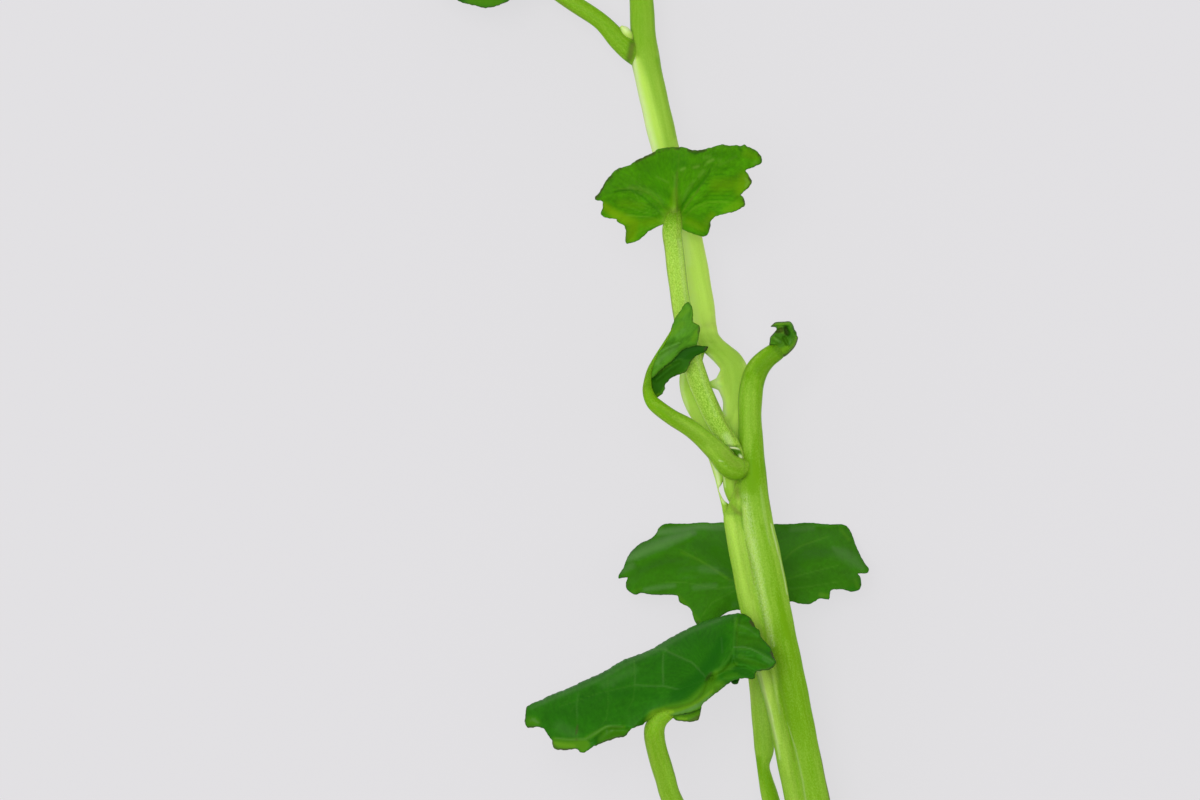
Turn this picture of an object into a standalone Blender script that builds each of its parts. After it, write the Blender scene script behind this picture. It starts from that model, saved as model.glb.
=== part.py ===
"""Sprig of Japanese cress, lying on its side on a flat surface.

Run with: blender --background --python part.py

Metres in the scene, millimetres in the lists below, +Z up. The sprig lies along Y: its cut end
is at the -Y end and its growing tips point to +Y. It rests on the cut end, on the drooping rims
of the rear and top leaves, and on the tip of the rear branch. The origin is under the middle of
the whole sprig, on the surface that it rests on.

A stem is a list of stations, each (x, y, z, radius). A leaf blade is a rim, as (x, y) points,
on a tilted plane through its hub, with the blade swelling towards its upper side between the
hub and the rim.
"""

import math

import bmesh
import bpy
from mathutils import Vector

MM = 0.001

# Driving dimensions, in millimetres
BLADE_THICKNESS = 0.5  # of a leaf blade
RIM_DROP = 0.3  # height of a resting rim's middle over the surface
STEM_SIDES = 10
MAIN_STEM_SIDES = 20
STEPS_PER_STATION = 2  # rings along a stem from one station to the next
BLADE_RINGS = (0.2, 0.45, 0.7, 0.88, 1.0)  # share of the way from hub to rim

# Main stem, from the cut end up to the curled bud: (x, y, z, radius)
MAIN_STEM = (
    (21.1, -59.6, 1.85, 1.75),
    (20.6, -57.2, 2.6, 1.8),
    (20.0, -54.8, 3.7, 1.75),
    (18.9, -50.0, 5.7, 1.5),
    (16.8, -40.0, 9.2, 1.36),
    (14.7, -30.0, 11.4, 1.42),
    (12.95, -22.0, 12.6, 1.5),
    (11.75, -16.0, 13.3, 1.56),
    (10.85, -11.5, 13.7, 1.55),
    (10.45, -8.0, 13.95, 1.42),
    (10.2, -5.5, 14.0, 1.35),
    (10.05, -3.5, 14.0, 1.22),
    (9.97, -1.4, 13.9, 1.17),
    (10.03, 0.3, 13.8, 1.19),
    (10.25, 1.8, 13.7, 1.18),
    (10.75, 3.1, 13.6, 1.12),
    (11.6, 4.1, 13.6, 1.02),
    (12.6, 4.85, 13.7, 0.95),
)

# Side ridge fused to the main stem, which parts from it as the rear branch: (y, dx, dz, radius)
SIDE_RIDGE = (
    (-60.0, -0.8, -0.1, 1.5),
    (-54.8, -1.2, -0.3, 1.5),
    (-50.0, -1.8, -0.7, 1.3),
    (-40.0, -2.15, -1.1, 1.12),
    (-30.0, -2.05, -1.2, 1.2),
    (-22.0, -2.45, -1.3, 1.28),
    (-16.0, -2.4, -1.3, 1.25),
    (-11.5, -2.3, -1.3, 1.18),
    (-11.0, -2.3, -1.3, 1.12),
    (-10.7, -1.6, -0.9, 0.6),
)

# Rear branch: up from the side ridge's end and bowed to the right, then on to its growing tip
REAR_STEM_LOWER = (
    (8.45, -9.65, 12.3, 0.8),
    (8.4, -9.2, 12.3, 1.0),
    (8.3, -8.0, 12.3, 1.1),
    (8.35, -4.5, 11.7, 1.2),
    (8.55, -1.2, 10.9, 1.28),
    (8.7, 1.0, 10.4, 1.33),
    (8.55, 2.6, 10.0, 1.38),
    (8.1, 3.8, 9.7, 1.4),
    (7.3, 4.75, 9.5, 1.3),
    (6.4, 5.5, 9.3, 1.22),
    (5.7, 6.2, 9.2, 1.25),
    (5.45, 6.8, 9.1, 1.28),
)
REAR_STEM_UPPER = (
    (5.35, 7.35, 9.1, 1.28),
    (5.25, 8.2, 9.0, 1.32),
    (5.05, 10.0, 8.9, 1.3),
    (4.2, 15.0, 8.6, 1.3),
    (2.9, 20.0, 8.2, 1.32),
    (1.35, 26.0, 7.7, 1.4),
    (0.2, 31.0, 7.2, 1.4),
    (-0.45, 34.2, 6.9, 1.45),
    (-0.7, 37.0, 6.5, 1.25),
    (-0.85, 40.0, 6.1, 1.2),
    (-1.3, 45.0, 5.2, 1.1),
    (-2.1, 50.0, 4.0, 1.15),
    (-2.8, 53.5, 3.0, 0.9),
    (-3.2, 55.6, 2.3, 0.75),
)
REAR_SIDE_STALK = (
    (6.3, -3.3, 10.7, 0.85),
    (5.3, -1.8, 10.3, 1.0),
    (4.4, 0.0, 9.9, 1.05),
    (4.0, 1.8, 9.5, 1.03),
    (4.15, 3.3, 9.2, 0.9),
    (4.5, 4.4, 9.0, 0.7),
)

# Leaf stalks, each from the stem to its blade
UPPER_STALK = (
    (8.15, -4.6, 15.1, 0.74),
    (7.35, -3.3, 15.15, 0.88),
    (6.2, -1.3, 15.0, 0.98),
    (4.95, 1.6, 14.8, 1.04),
    (4.1, 4.4, 14.7, 1.0),
    (3.35, 8.0, 14.6, 0.97),
    (2.75, 12.0, 14.6, 0.95),
    (2.35, 15.0, 14.7, 0.86),
    (2.2, 16.7, 14.8, 0.84),
)
FOLDED_STALK = (
    (8.8, -7.5, 15.5, 0.8),
    (8.45, -7.2, 15.8, 1.15),
    (7.6, -6.3, 16.6, 1.15),
    (6.4, -4.9, 17.1, 1.0),
    (4.2, -2.95, 17.3, 0.9),
    (2.2, -1.75, 17.3, 0.8),
    (0.6, -0.6, 17.2, 0.75),
    (-0.25, 0.8, 17.1, 0.62),
    (-0.4, 2.4, 17.0, 0.45),
    (0.05, 3.9, 17.0, 0.3),
)
REAR_LEAF_STALK = (
    (15.35, -52.7, 3.5, 0.62),
    (14.95, -51.6, 3.8, 0.95),
    (14.0, -47.5, 4.9, 0.9),
    (12.9, -43.0, 6.1, 0.9),
    (12.1, -40.0, 6.7, 0.88),
    (11.6, -38.0, 7.0, 0.72),
    (11.35, -36.6, 7.1, 0.62),
    (11.45, -34.8, 7.0, 0.98),
    (11.2, -31.5, 6.8, 1.02),
    (10.85, -28.0, 6.4, 0.98),
    (10.3, -24.0, 5.7, 0.85),
    (9.85, -21.0, 5.3, 0.75),
    (9.6, -19.0, 5.1, 0.65),
)
FRONT_LEAF_STALK = (
    (17.1, -57.6, 2.8, 0.7),
    (16.6, -57.1, 3.1, 1.1),
    (15.2, -55.9, 3.9, 1.05),
    (11.5, -52.4, 6.3, 1.0),
    (7.6, -48.0, 9.4, 1.0),
    (4.6, -43.8, 12.3, 1.0),
    (2.25, -40.0, 14.6, 1.02),
    (1.6, -37.7, 15.8, 1.08),
    (0.75, -35.0, 16.8, 1.08),
    (0.55, -33.1, 17.2, 1.08),
    (1.1, -32.0, 17.3, 0.9),
    (2.4, -31.3, 17.45, 0.7),
    (4.1, -30.6, 17.9, 0.6),
    (5.3, -29.6, 18.15, 0.5),
)
TOP_LEAF_STALK = (
    (-2.45, 35.1, 7.05, 0.35),
    (-2.9, 35.65, 7.1, 0.8),
    (-3.5, 36.6, 7.1, 0.88),
    (-5.0, 38.0, 6.9, 0.86),
    (-8.0, 40.0, 6.5, 0.85),
    (-10.6, 41.9, 5.7, 0.8),
    (-12.9, 43.7, 4.3, 0.7),
    (-13.7, 44.4, 3.6, 0.55),
)
TIP_LEAF_STALK = (
    (-0.55, 50.35, 3.9, 0.3),
    (-0.1, 50.8, 3.8, 0.58),
    (1.0, 52.0, 3.2, 0.56),
    (2.1, 53.1, 2.6, 0.52),
    (2.9, 53.9, 2.2, 0.45),
)

# Curled young leaf at the end of the main stem, and the closed bud at the rear branch's tip
CURLED_LEAF = (
    (13.0, 5.2, 13.75, 0.85),
    (13.4, 5.75, 13.8, 1.15),
    (13.65, 6.45, 13.85, 1.15),
    (13.65, 7.3, 13.9, 0.85),
    (13.1, 7.6, 13.95, 0.55),
    (12.5, 7.35, 14.0, 0.35),
    (12.2, 7.1, 14.0, 0.15),
)
TIP_BUD = (
    (-3.25, 55.9, 2.15, 0.6),
    (-3.55, 57.2, 1.75, 1.05),
    (-3.9, 58.4, 1.35, 1.1),
    (-4.3, 59.5, 0.85, 0.6),
    (-4.5, 60.0, 0.6, 0.2),
)
FRONT_AXIL_BUD = (
    (8.95, -5.55, 15.7, 0.1),
    (8.85, -5.3, 15.8, 0.27),
    (8.75, -4.95, 15.8, 0.3),
)
REAR_AXIL_BUD = (
    (-2.35, 37.05, 7.4, 0.12),
    (-2.4, 37.3, 7.45, 0.3),
    (-2.45, 37.7, 7.5, 0.26),
    (-2.5, 38.0, 7.5, 0.1),
)

# Leaf rims as (x, y), in order round the blade
UPPER_LEAF_RIM = (
    (0.95, 17.45), (-0.25, 16.8), (-1.2, 16.05), (-2.2, 15.6), (-2.5, 16.3), (-2.5, 17.2),
    (-3.2, 17.9), (-4.3, 18.15), (-4.95, 18.6), (-4.7, 19.4), (-5.55, 20.05), (-4.95, 20.7),
    (-4.15, 22.0), (-3.25, 22.95), (-2.0, 23.35), (-0.85, 24.0), (0.2, 24.4), (1.1, 24.9),
    (2.05, 25.0), (3.05, 25.0), (4.4, 24.65), (6.15, 24.95), (7.3, 25.2), (8.8, 25.15),
    (10.05, 24.95), (10.65, 24.5), (11.1, 23.9), (11.0, 23.4), (9.6, 22.9), (10.1, 21.65),
    (9.75, 21.05), (9.1, 20.45), (9.4, 19.5), (8.6, 18.85), (7.55, 18.55), (6.6, 18.2),
    (6.1, 17.6), (5.85, 16.8), (5.55, 16.4), (4.9, 16.55), (3.85, 16.95), (3.2, 17.2),
    (2.1, 17.45),
)
REAR_LEAF_RIM = (
    (-3.2, -17.8), (-2.8, -16.6), (-2.3, -15.4), (-0.9, -14.4), (0.4, -13.6), (1.1, -12.8),
    (3.0, -12.5), (5.0, -12.4), (7.3, -12.35), (9.8, -12.35), (12.5, -12.4), (15.5, -12.4),
    (17.6, -12.45), (19.3, -12.6), (20.1, -13.2), (20.5, -14.5), (21.2, -15.7), (22.0, -16.9),
    (20.7, -17.3), (21.2, -18.6), (20.3, -19.1), (18.7, -18.9), (18.0, -19.1), (17.8, -19.9),
    (17.0, -19.9), (15.9, -20.4), (14.6, -20.3), (12.6, -20.5), (10.8, -20.0), (9.5, -20.8),
    (7.8, -21.1), (6.5, -21.6), (4.9, -22.3), (4.4, -21.6), (4.1, -20.8), (3.0, -20.3),
    (2.7, -19.5), (0.9, -19.5), (-0.5, -19.2), (-1.3, -19.4), (-2.4, -18.6), (-2.1, -17.9),
)
FRONT_LEAF_RIM = (
    (-12.4, -32.35), (-12.4, -31.0), (-12.1, -30.55), (-9.75, -29.5), (-6.05, -27.8),
    (-3.45, -26.5), (-1.05, -25.3), (1.35, -24.5), (3.75, -23.2), (5.6, -22.2), (7.25, -21.6),
    (8.55, -21.3), (9.5, -21.55), (10.4, -22.4), (10.95, -23.35), (11.7, -24.25),
    (12.45, -25.35), (12.65, -26.45), (11.5, -26.95), (10.25, -27.05), (10.4, -27.95),
    (9.2, -28.0), (8.3, -28.4), (6.9, -29.1), (6.0, -29.8), (5.35, -30.35), (5.1, -31.15),
    (4.6, -32.05), (3.85, -32.1), (2.7, -31.9), (1.55, -31.95), (-0.85, -32.6), (-2.15, -33.05),
    (-3.85, -33.5), (-5.1, -34.25), (-6.6, -35.15), (-9.0, -34.8), (-9.65, -34.5),
    (-9.85, -33.8), (-10.6, -32.95),
)
FOLDED_LEAF_RIM = (
    (3.8, 9.8), (4.3, 9.1), (4.25, 7.9), (4.65, 7.55), (5.0, 7.1), (4.95, 6.4), (4.75, 5.6),
    (5.85, 5.25), (5.3, 4.75), (4.5, 4.3), (4.0, 3.9), (3.9, 3.35), (3.4, 2.7), (2.6, 2.4),
    (1.9, 2.0), (1.5, 1.55), (1.45, 1.1), (1.15, 0.65), (0.9, 0.8), (0.75, 1.5), (0.7, 2.4),
    (0.8, 3.4), (1.15, 4.9), (1.9, 6.5), (2.5, 8.0), (3.2, 9.2),
)
TOP_LEAF_RIM = (
    (-13.2, 40.6), (-14.2, 40.0), (-15.3, 39.5), (-16.5, 39.3), (-17.8, 39.6), (-19.0, 39.9),
    (-20.2, 40.9), (-21.6, 41.6), (-21.9, 42.9), (-22.7, 44.1), (-22.0, 45.3), (-22.0, 46.7),
    (-20.6, 47.6), (-19.9, 48.8), (-18.4, 49.2), (-17.2, 50.1), (-15.7, 49.9), (-14.2, 50.5),
    (-12.8, 49.9), (-11.2, 50.0), (-10.3, 48.8), (-9.0, 48.1), (-8.8, 46.8), (-8.0, 45.6),
    (-8.6, 44.4), (-8.5, 43.1), (-9.7, 42.5), (-10.5, 41.6), (-12.0, 41.7),
)
TIP_LEAF_LOBES = 9
TIP_LEAF_RADII = (4.3, 3.4)  # half width and half length, seen from above
TIP_LEAF_CENTRE = (4.3, 55.6)
TIP_LEAF_TOOTH = 0.35

# Each blade: hub (x, y, z), rise of the plane per millimetre along x and y, and swelling
UPPER_LEAF_HUB = (2.2, 19.0, 16.6)
UPPER_LEAF_TILT = (0.0, 1.1)
UPPER_LEAF_SWELL = -0.9
REAR_LEAF_HUB = (9.6, -17.6, 5.0)
REAR_LEAF_TILT = (0.0, -0.95)
REAR_LEAF_SWELL = 1.1
FRONT_LEAF_HUB = (6.1, -27.6, 18.0)
FRONT_LEAF_TILT = (0.32, -0.73)
FRONT_LEAF_SWELL = 0.9
FOLDED_LEAF_HUB = (2.0, 3.6, 17.3)
FOLDED_LEAF_TILT = (0.25, 0.1)
FOLDED_LEAF_SWELL = 0.5
TOP_LEAF_HUB = (-14.6, 45.0, 4.8)
TOP_LEAF_TILT = (0.0, -0.8)
TOP_LEAF_SWELL = 0.8
TIP_LEAF_HUB = (3.9, 55.0, 2.7)
TIP_LEAF_TILT = (0.0, -0.6)
TIP_LEAF_SWELL = 0.4

# Colours, linear RGB
MAIN_GREEN = (0.22, 0.46, 0.02)
REAR_GREEN = (0.33, 0.56, 0.05)
STALK_GREEN = (0.27, 0.47, 0.035)
LEAF_DARK = (0.028, 0.14, 0.006)
LEAF_LIGHT = (0.075, 0.26, 0.005)
LEAF_YOUNG = (0.05, 0.19, 0.01)


def clear_scene():
    for thing in list(bpy.data.objects):
        bpy.data.objects.remove(thing, do_unlink=True)


def plant_material(name, colour, roughness):
    material = bpy.data.materials.new(name)
    material.use_nodes = True
    shader = material.node_tree.nodes["Principled BSDF"]
    shader.inputs["Base Color"].default_value = (*colour, 1.0)
    shader.inputs["Roughness"].default_value = roughness
    shader.inputs["Metallic"].default_value = 0.0
    return material


def smooth_path(stations, steps):
    """Points on a smooth curve through the stations, which may carry a radius as well."""
    count = len(stations)
    size = len(stations[0])
    path = []
    for i in range(count - 1):
        before = stations[max(i - 1, 0)]
        start = stations[i]
        end = stations[i + 1]
        after = stations[min(i + 2, count - 1)]
        for step in range(steps):
            t = step / steps
            point = []
            for k in range(size):
                slope_in = (end[k] - before[k]) / 2
                slope_out = (after[k] - start[k]) / 2
                change = end[k] - start[k]
                bend = 3 * change - 2 * slope_in - slope_out
                twist = slope_in + slope_out - 2 * change
                point.append(start[k] + t * (slope_in + t * (bend + t * twist)))
            path.append(tuple(point))
    path.append(tuple(stations[-1]))
    return path


def value_at(table, y):
    """The rest of the row of a table at y, read between its rows, or None past its last row."""
    if y > table[-1][0]:
        return None
    for low, high in zip(table, table[1:]):
        if y <= high[0]:
            share = (y - low[0]) / (high[0] - low[0])
            return [a + (b - a) * share for a, b in zip(low[1:], high[1:])]
    return None


def reach_of_circle(direction, centre, radius):
    """How far a ray from the origin of a section goes to leave a circle of it, or 0."""
    along = direction[0] * centre[0] + direction[1] * centre[1]
    under_root = along * along - centre[0] ** 2 - centre[1] ** 2 + radius * radius
    if under_root < 0:
        return 0.0
    return max(along + math.sqrt(under_root), 0.0)


def ring_points(place, tangent, radius, ridge, sides):
    """One ring of a stem: round, or round with the side ridge fused to it."""
    side = tangent.cross(Vector((0, 0, 1))).normalized()
    rise = side.cross(tangent).normalized()
    lobe = (0.0, 0.0)
    lobe_radius = 0.0
    if ridge:
        lobe = (side.x * ridge[0], ridge[1] * rise.z)
        lobe_radius = ridge[2]
    middle = (0.45 * lobe[0], 0.45 * lobe[1])
    points = []
    for i in range(sides):
        angle = 2 * math.pi * i / sides
        direction = (math.cos(angle), math.sin(angle))
        stem_centre = (-middle[0], -middle[1])
        ridge_centre = (lobe[0] - middle[0], lobe[1] - middle[1])
        reach = reach_of_circle(direction, stem_centre, radius)
        if ridge:
            reach = max(reach, reach_of_circle(direction, ridge_centre, lobe_radius))
        across = middle[0] + direction[0] * reach
        upward = middle[1] + direction[1] * reach
        points.append(place + side * across + rise * upward)
    return points


def add_object(name, mesh, material):
    mesh.shade_smooth()
    mesh.set_sharp_from_angle(angle=math.radians(50))
    thing = bpy.data.objects.new(name, mesh)
    thing.data.materials.append(material)
    bpy.context.scene.collection.objects.link(thing)
    return thing


def make_stem(name, stations, material, sides=STEM_SIDES, ridge_table=None):
    """A closed round stem along its stations, with flat ends."""
    path = smooth_path(stations, STEPS_PER_STATION)
    bm = bmesh.new()
    rings = []
    for i, station in enumerate(path):
        ahead = Vector(path[min(i + 1, len(path) - 1)][:3])
        behind = Vector(path[max(i - 1, 0)][:3])
        tangent = (ahead - behind).normalized()
        ridge = value_at(ridge_table, station[1]) if ridge_table else None
        points = ring_points(Vector(station[:3]), tangent, station[3], ridge, sides)
        rings.append([bm.verts.new(point * MM) for point in points])
    for low, high in zip(rings, rings[1:]):
        for i in range(sides):
            j = (i + 1) % sides
            bm.faces.new((low[i], low[j], high[j], high[i]))
    bm.faces.new(list(reversed(rings[0])))
    bm.faces.new(rings[-1])
    bmesh.ops.recalc_face_normals(bm, faces=bm.faces)
    mesh = bpy.data.meshes.new(name)
    bm.to_mesh(mesh)
    bm.free()
    return add_object(name, mesh, material)


def make_blade(name, rim, hub, tilt, swell, material):
    """A leaf blade: rings from the hub out to the rim, given its thickness by Solidify."""
    centre = Vector(hub)
    upward = Vector((-tilt[0], -tilt[1], 1)).normalized()
    rim_points = []
    for x, y in rim:
        z = hub[2] + tilt[0] * (x - hub[0]) + tilt[1] * (y - hub[1])
        rim_points.append(Vector((x, y, max(z, RIM_DROP))))
    longest = max((point - centre).length for point in rim_points)
    bm = bmesh.new()
    middle = bm.verts.new(centre * MM)
    rings = []
    for share in BLADE_RINGS:
        ring = []
        for point in rim_points:
            spoke = point - centre
            lift = swell * 4 * share * (1 - share) * spoke.length / longest
            ring.append(bm.verts.new((centre + spoke * share + upward * lift) * MM))
        rings.append(ring)
    count = len(rim_points)
    for i in range(count):
        j = (i + 1) % count
        bm.faces.new((middle, rings[0][i], rings[0][j]))
        for inner, outer in zip(rings, rings[1:]):
            bm.faces.new((inner[i], outer[i], outer[j], inner[j]))
    bmesh.ops.recalc_face_normals(bm, faces=bm.faces)
    mesh = bpy.data.meshes.new(name)
    bm.to_mesh(mesh)
    bm.free()
    blade = add_object(name, mesh, material)
    solidify = blade.modifiers.new("Thickness", "SOLIDIFY")
    solidify.thickness = BLADE_THICKNESS * MM
    solidify.offset = 0.0
    solidify.use_rim = True
    return blade


def tip_leaf_rim():
    """A small round leaf's rim, with shallow teeth."""
    points = []
    count = 3 * TIP_LEAF_LOBES
    for i in range(count):
        angle = 2 * math.pi * i / count
        tooth = TIP_LEAF_TOOTH * math.cos(TIP_LEAF_LOBES * angle)
        x = TIP_LEAF_CENTRE[0] + (TIP_LEAF_RADII[0] + tooth) * math.cos(angle)
        y = TIP_LEAF_CENTRE[1] + (TIP_LEAF_RADII[1] + tooth) * math.sin(angle)
        points.append((x, y))
    return points


def make_stems(main_green, rear_green):
    make_stem("main_stem", MAIN_STEM, main_green, MAIN_STEM_SIDES, SIDE_RIDGE)
    make_stem("rear_stem_lower", REAR_STEM_LOWER, rear_green)
    make_stem("rear_stem_upper", REAR_STEM_UPPER, rear_green)
    make_stem("rear_side_stalk", REAR_SIDE_STALK, rear_green)


def make_stalks(stalk_green):
    stalks = (
        ("upper_leaf_stalk", UPPER_STALK),
        ("folded_leaf_stalk", FOLDED_STALK),
        ("rear_leaf_stalk", REAR_LEAF_STALK),
        ("front_leaf_stalk", FRONT_LEAF_STALK),
        ("top_leaf_stalk", TOP_LEAF_STALK),
        ("tip_leaf_stalk", TIP_LEAF_STALK),
    )
    for name, stations in stalks:
        make_stem(name, stations, stalk_green)


def make_buds(young_green, stalk_green):
    make_stem("curled_leaf", CURLED_LEAF, young_green)
    make_stem("tip_bud", TIP_BUD, young_green)
    make_stem("front_axil_bud", FRONT_AXIL_BUD, young_green, 8)
    make_stem("rear_axil_bud", REAR_AXIL_BUD, stalk_green, 8)


def make_blades(dark, light, young):
    make_blade(
        "upper_leaf", UPPER_LEAF_RIM, UPPER_LEAF_HUB, UPPER_LEAF_TILT, UPPER_LEAF_SWELL, light
    )
    make_blade("rear_leaf", REAR_LEAF_RIM, REAR_LEAF_HUB, REAR_LEAF_TILT, REAR_LEAF_SWELL, dark)
    make_blade(
        "front_leaf", FRONT_LEAF_RIM, FRONT_LEAF_HUB, FRONT_LEAF_TILT, FRONT_LEAF_SWELL, dark
    )
    make_blade(
        "folded_leaf", FOLDED_LEAF_RIM, FOLDED_LEAF_HUB, FOLDED_LEAF_TILT, FOLDED_LEAF_SWELL, young
    )
    make_blade("top_leaf", TOP_LEAF_RIM, TOP_LEAF_HUB, TOP_LEAF_TILT, TOP_LEAF_SWELL, dark)
    make_blade("tip_leaf", tip_leaf_rim(), TIP_LEAF_HUB, TIP_LEAF_TILT, TIP_LEAF_SWELL, young)


def main():
    clear_scene()
    main_green = plant_material("main_stem_green", MAIN_GREEN, 0.4)
    rear_green = plant_material("rear_stem_green", REAR_GREEN, 0.45)
    stalk_green = plant_material("stalk_green", STALK_GREEN, 0.45)
    dark = plant_material("leaf_dark", LEAF_DARK, 0.5)
    light = plant_material("leaf_light", LEAF_LIGHT, 0.5)
    young = plant_material("leaf_young", LEAF_YOUNG, 0.5)
    make_stems(main_green, rear_green)
    make_stalks(stalk_green)
    make_buds(young, stalk_green)
    make_blades(dark, light, young)


main()
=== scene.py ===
"""Looks of a cut sprig of Japanese cress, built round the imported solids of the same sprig.

The sprig lies along Y on a pale floor, its cut end at -Y. Lists of places are in millimetres, as
(x, y) or (x, y, z, radius), and MM turns them into Blender's metres. Every stem is a smooth loft
through its stations, and every blade is a filled outline lifted off its tilted plane.
"""

import math
import random

import bmesh
import bpy
import numpy as np
from bpy.props import FloatProperty, FloatVectorProperty, PointerProperty
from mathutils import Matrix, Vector
from mathutils.geometry import delaunay_2d_cdt


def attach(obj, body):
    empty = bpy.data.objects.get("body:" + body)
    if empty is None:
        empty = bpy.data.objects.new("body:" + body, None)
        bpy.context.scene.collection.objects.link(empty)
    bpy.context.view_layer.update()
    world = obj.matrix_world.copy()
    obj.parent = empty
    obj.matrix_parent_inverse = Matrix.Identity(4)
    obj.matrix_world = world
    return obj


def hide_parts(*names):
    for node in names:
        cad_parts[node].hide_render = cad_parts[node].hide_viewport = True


bl_info = {
    "name": "Japanese Cress Sprig",
    "version": (1, 0, 0),
    "blender": (4, 5, 0),
    "location": "View3D > Sidebar > Cress",
    "description": "Builds the stems, leaves and stage of a cut cress sprig",
    "category": "Add Mesh",
}

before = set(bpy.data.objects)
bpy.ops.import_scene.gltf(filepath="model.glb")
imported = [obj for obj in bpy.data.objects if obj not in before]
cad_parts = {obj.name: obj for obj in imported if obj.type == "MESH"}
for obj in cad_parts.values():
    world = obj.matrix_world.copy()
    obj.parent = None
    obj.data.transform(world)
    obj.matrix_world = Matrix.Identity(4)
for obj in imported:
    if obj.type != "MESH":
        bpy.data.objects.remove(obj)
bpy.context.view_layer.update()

MM = 0.001
BODY = "root"

# Kinds of paint that are marks of their own; "pale" and "deep" only shift a stem's tone
# Light paint is painted highlight and sheen, with some pale veins on the leaves. Dark paint is
# partly painted shade in creases, folds, hollows and beside raised veins. Pale paint on the stems
# is partly painted light.
STEM_MARKS = ("light", "dark", "brown", "frost")
LEAF_MARKS = ("light", "dark", "brown", "warm", "bright")

UPPER_SIDE = (-0.25, 0.2)  # rise of a stem's skin where its painted side begins and is full
ROUND_RINGS = (0.94, 0.8, 0.55, 0.25)  # rings that close a rounded end, as shares of its section
CUT_RINGS = (0.97, 0.9, 0.75, 0.55, 0.35, 0.15)  # the same for the flat cut end
ROUND_BULGE = 0.6  # how far a rounded end stands out, as a share of the radius
CUT_HOLLOW = 0.12  # how far the cut end is hollow, the same way
RIDGE_MIDDLE = 0.45  # where a fused section's middle lies on the way to its ridge
BRIDGE_WIDTH = 0.92  # radius of the bridge between stem and ridge, as a share of their mean
JOIN_POWER = 14  # how sharply stem, ridge and bridge join
LOWEST_BLADE = 0.45  # how far above the floor a blade stays
RIM_LINE = 0.09  # width of the line along a blade's rim
FRET_WAVES = ((5.1, 1.3), (8.7, 2.1), (13.3, 0.7))  # the small waves that roughen a rim
PUFFED_GAP = 0.06  # distance between the points of the curled leaf
HANGING_ROWS = 14  # rows of points in a margin that hangs
LEAST_HANG = 0.25  # a margin that hangs less than this gets no faces
FULL_ROLL = 1.5  # a margin that hangs this far is rolled in full
TOOTH_LENGTH = 3.1  # length of one tooth along a margin that hangs
CLOUD_SHADES = (0.72, 1.28)  # brightness of the darkest and the lightest clouds in a blade

# Stems: stations of (x, y, z, radius)
MAIN_STEM = (
    (21.05, -59.5, 1.85, 1.72), (20.6, -57.2, 2.6, 1.8), (20, -54.8, 3.7, 1.75),
    (18.9, -50, 5.7, 1.5), (16.65, -40, 9.2, 1.36), (14.55, -30, 11.4, 1.42),
    (12.82, -22, 12.6, 1.5), (11.6, -16, 13.3, 1.57), (10.7, -11.5, 13.7, 1.48),
    (10.3, -8, 13.95, 1.38), (10.1, -5.5, 14, 1.33), (10.05, -3.5, 14, 1.22),
    (9.97, -1.4, 13.9, 1.17), (10.03, 0.3, 13.8, 1.19), (10.25, 1.8, 13.7, 1.18),
    (10.75, 3.1, 13.6, 1.12), (11.6, 4.1, 13.6, 1.02), (12.6, 4.85, 13.7, 0.95),
    (13.2, 5.4, 13.75, 0.8),
)
# The ridge fused to the main stem's left side: (y, dx, dz, radius)
SIDE_RIDGE = (
    (-60, -0.8, -0.1, 1.5), (-54.8, -1.2, -0.3, 1.5), (-50, -1.8, -0.7, 1.3),
    (-40, -2, -1.1, 1.12), (-30, -1.9, -1.2, 1.2), (-22, -2.32, -1.3, 1.28),
    (-16, -2.28, -1.3, 1.26), (-13.5, -2.28, -1.3, 1.24), (-11.6, -2.22, -1.3, 1.2),
    (-11, -2.25, -1.3, 1.05), (-10.5, -1.95, -1.15, 0.9), (-9.4, -1.45, -0.95, 0.85),
    (-8.4, -1.1, -0.85, 0.8), (-7.6, -0.7, -0.6, 0.6),
)
# The pale web on the inner side of the rear branch's bow, the same way
BOW_WEB = (
    (-1, 0, 0, 0.5), (-0.2, -0.8, 0, 0.5), (0.5, -1.15, 0, 0.5), (1.1, -1.4, 0, 0.5),
    (1.35, -2.2, 0, 0.4), (1.6, -2.75, 0, 0.4), (2.05, -2.75, 0, 0.4), (2.25, -2.2, 0, 0.42),
    (2.5, -1.6, 0, 0.48), (2.8, -1.42, 0, 0.5), (3.3, -1.2, 0, 0.5), (3.9, -0.75, 0, 0.5),
    (4.4, -0.25, 0, 0.5), (4.8, 0, 0, 0.5),
)
REAR_STEM_LOWER = (
    (8.75, -12.6, 12.2, 0.8), (8.8, -11.2, 12.3, 0.9), (8.85, -10.1, 12.35, 0.92),
    (8.6, -9.4, 12.3, 0.98), (8.4, -8.6, 12.3, 1.06), (8.3, -7.4, 12.2, 1.06),
    (8.35, -4.5, 11.7, 1.2), (8.55, -1.2, 10.9, 1.28), (8.7, 1, 10.4, 1.33), (8.55, 2.6, 10, 1.38),
    (8.1, 3.72, 9.7, 1.28), (7.27, 4.57, 9.5, 1.14), (6.45, 5.32, 9.3, 1.12),
    (5.7, 6.2, 9.2, 1.26), (5.4, 7.2, 9.1, 1.28), (5.2, 8.4, 9, 1.2),
)
REAR_STEM_UPPER = (
    (5.6, 6.3, 9.2, 1.1), (5.4, 7.1, 9.1, 1.3), (5.25, 8.2, 9, 1.32), (5.05, 10, 8.9, 1.3),
    (4.2, 15, 8.6, 1.3), (2.9, 20, 8.2, 1.32), (1.35, 26, 7.7, 1.4), (0.2, 31, 7.2, 1.4),
    (-0.45, 34.2, 6.9, 1.45), (-0.7, 37, 6.5, 1.25), (-0.85, 40, 6.1, 1.2), (-1.3, 45, 5.2, 1.1),
    (-2.1, 50, 4, 1.15), (-2.8, 53.5, 3, 0.9), (-3.25, 55.9, 2.2, 0.7),
)
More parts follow.
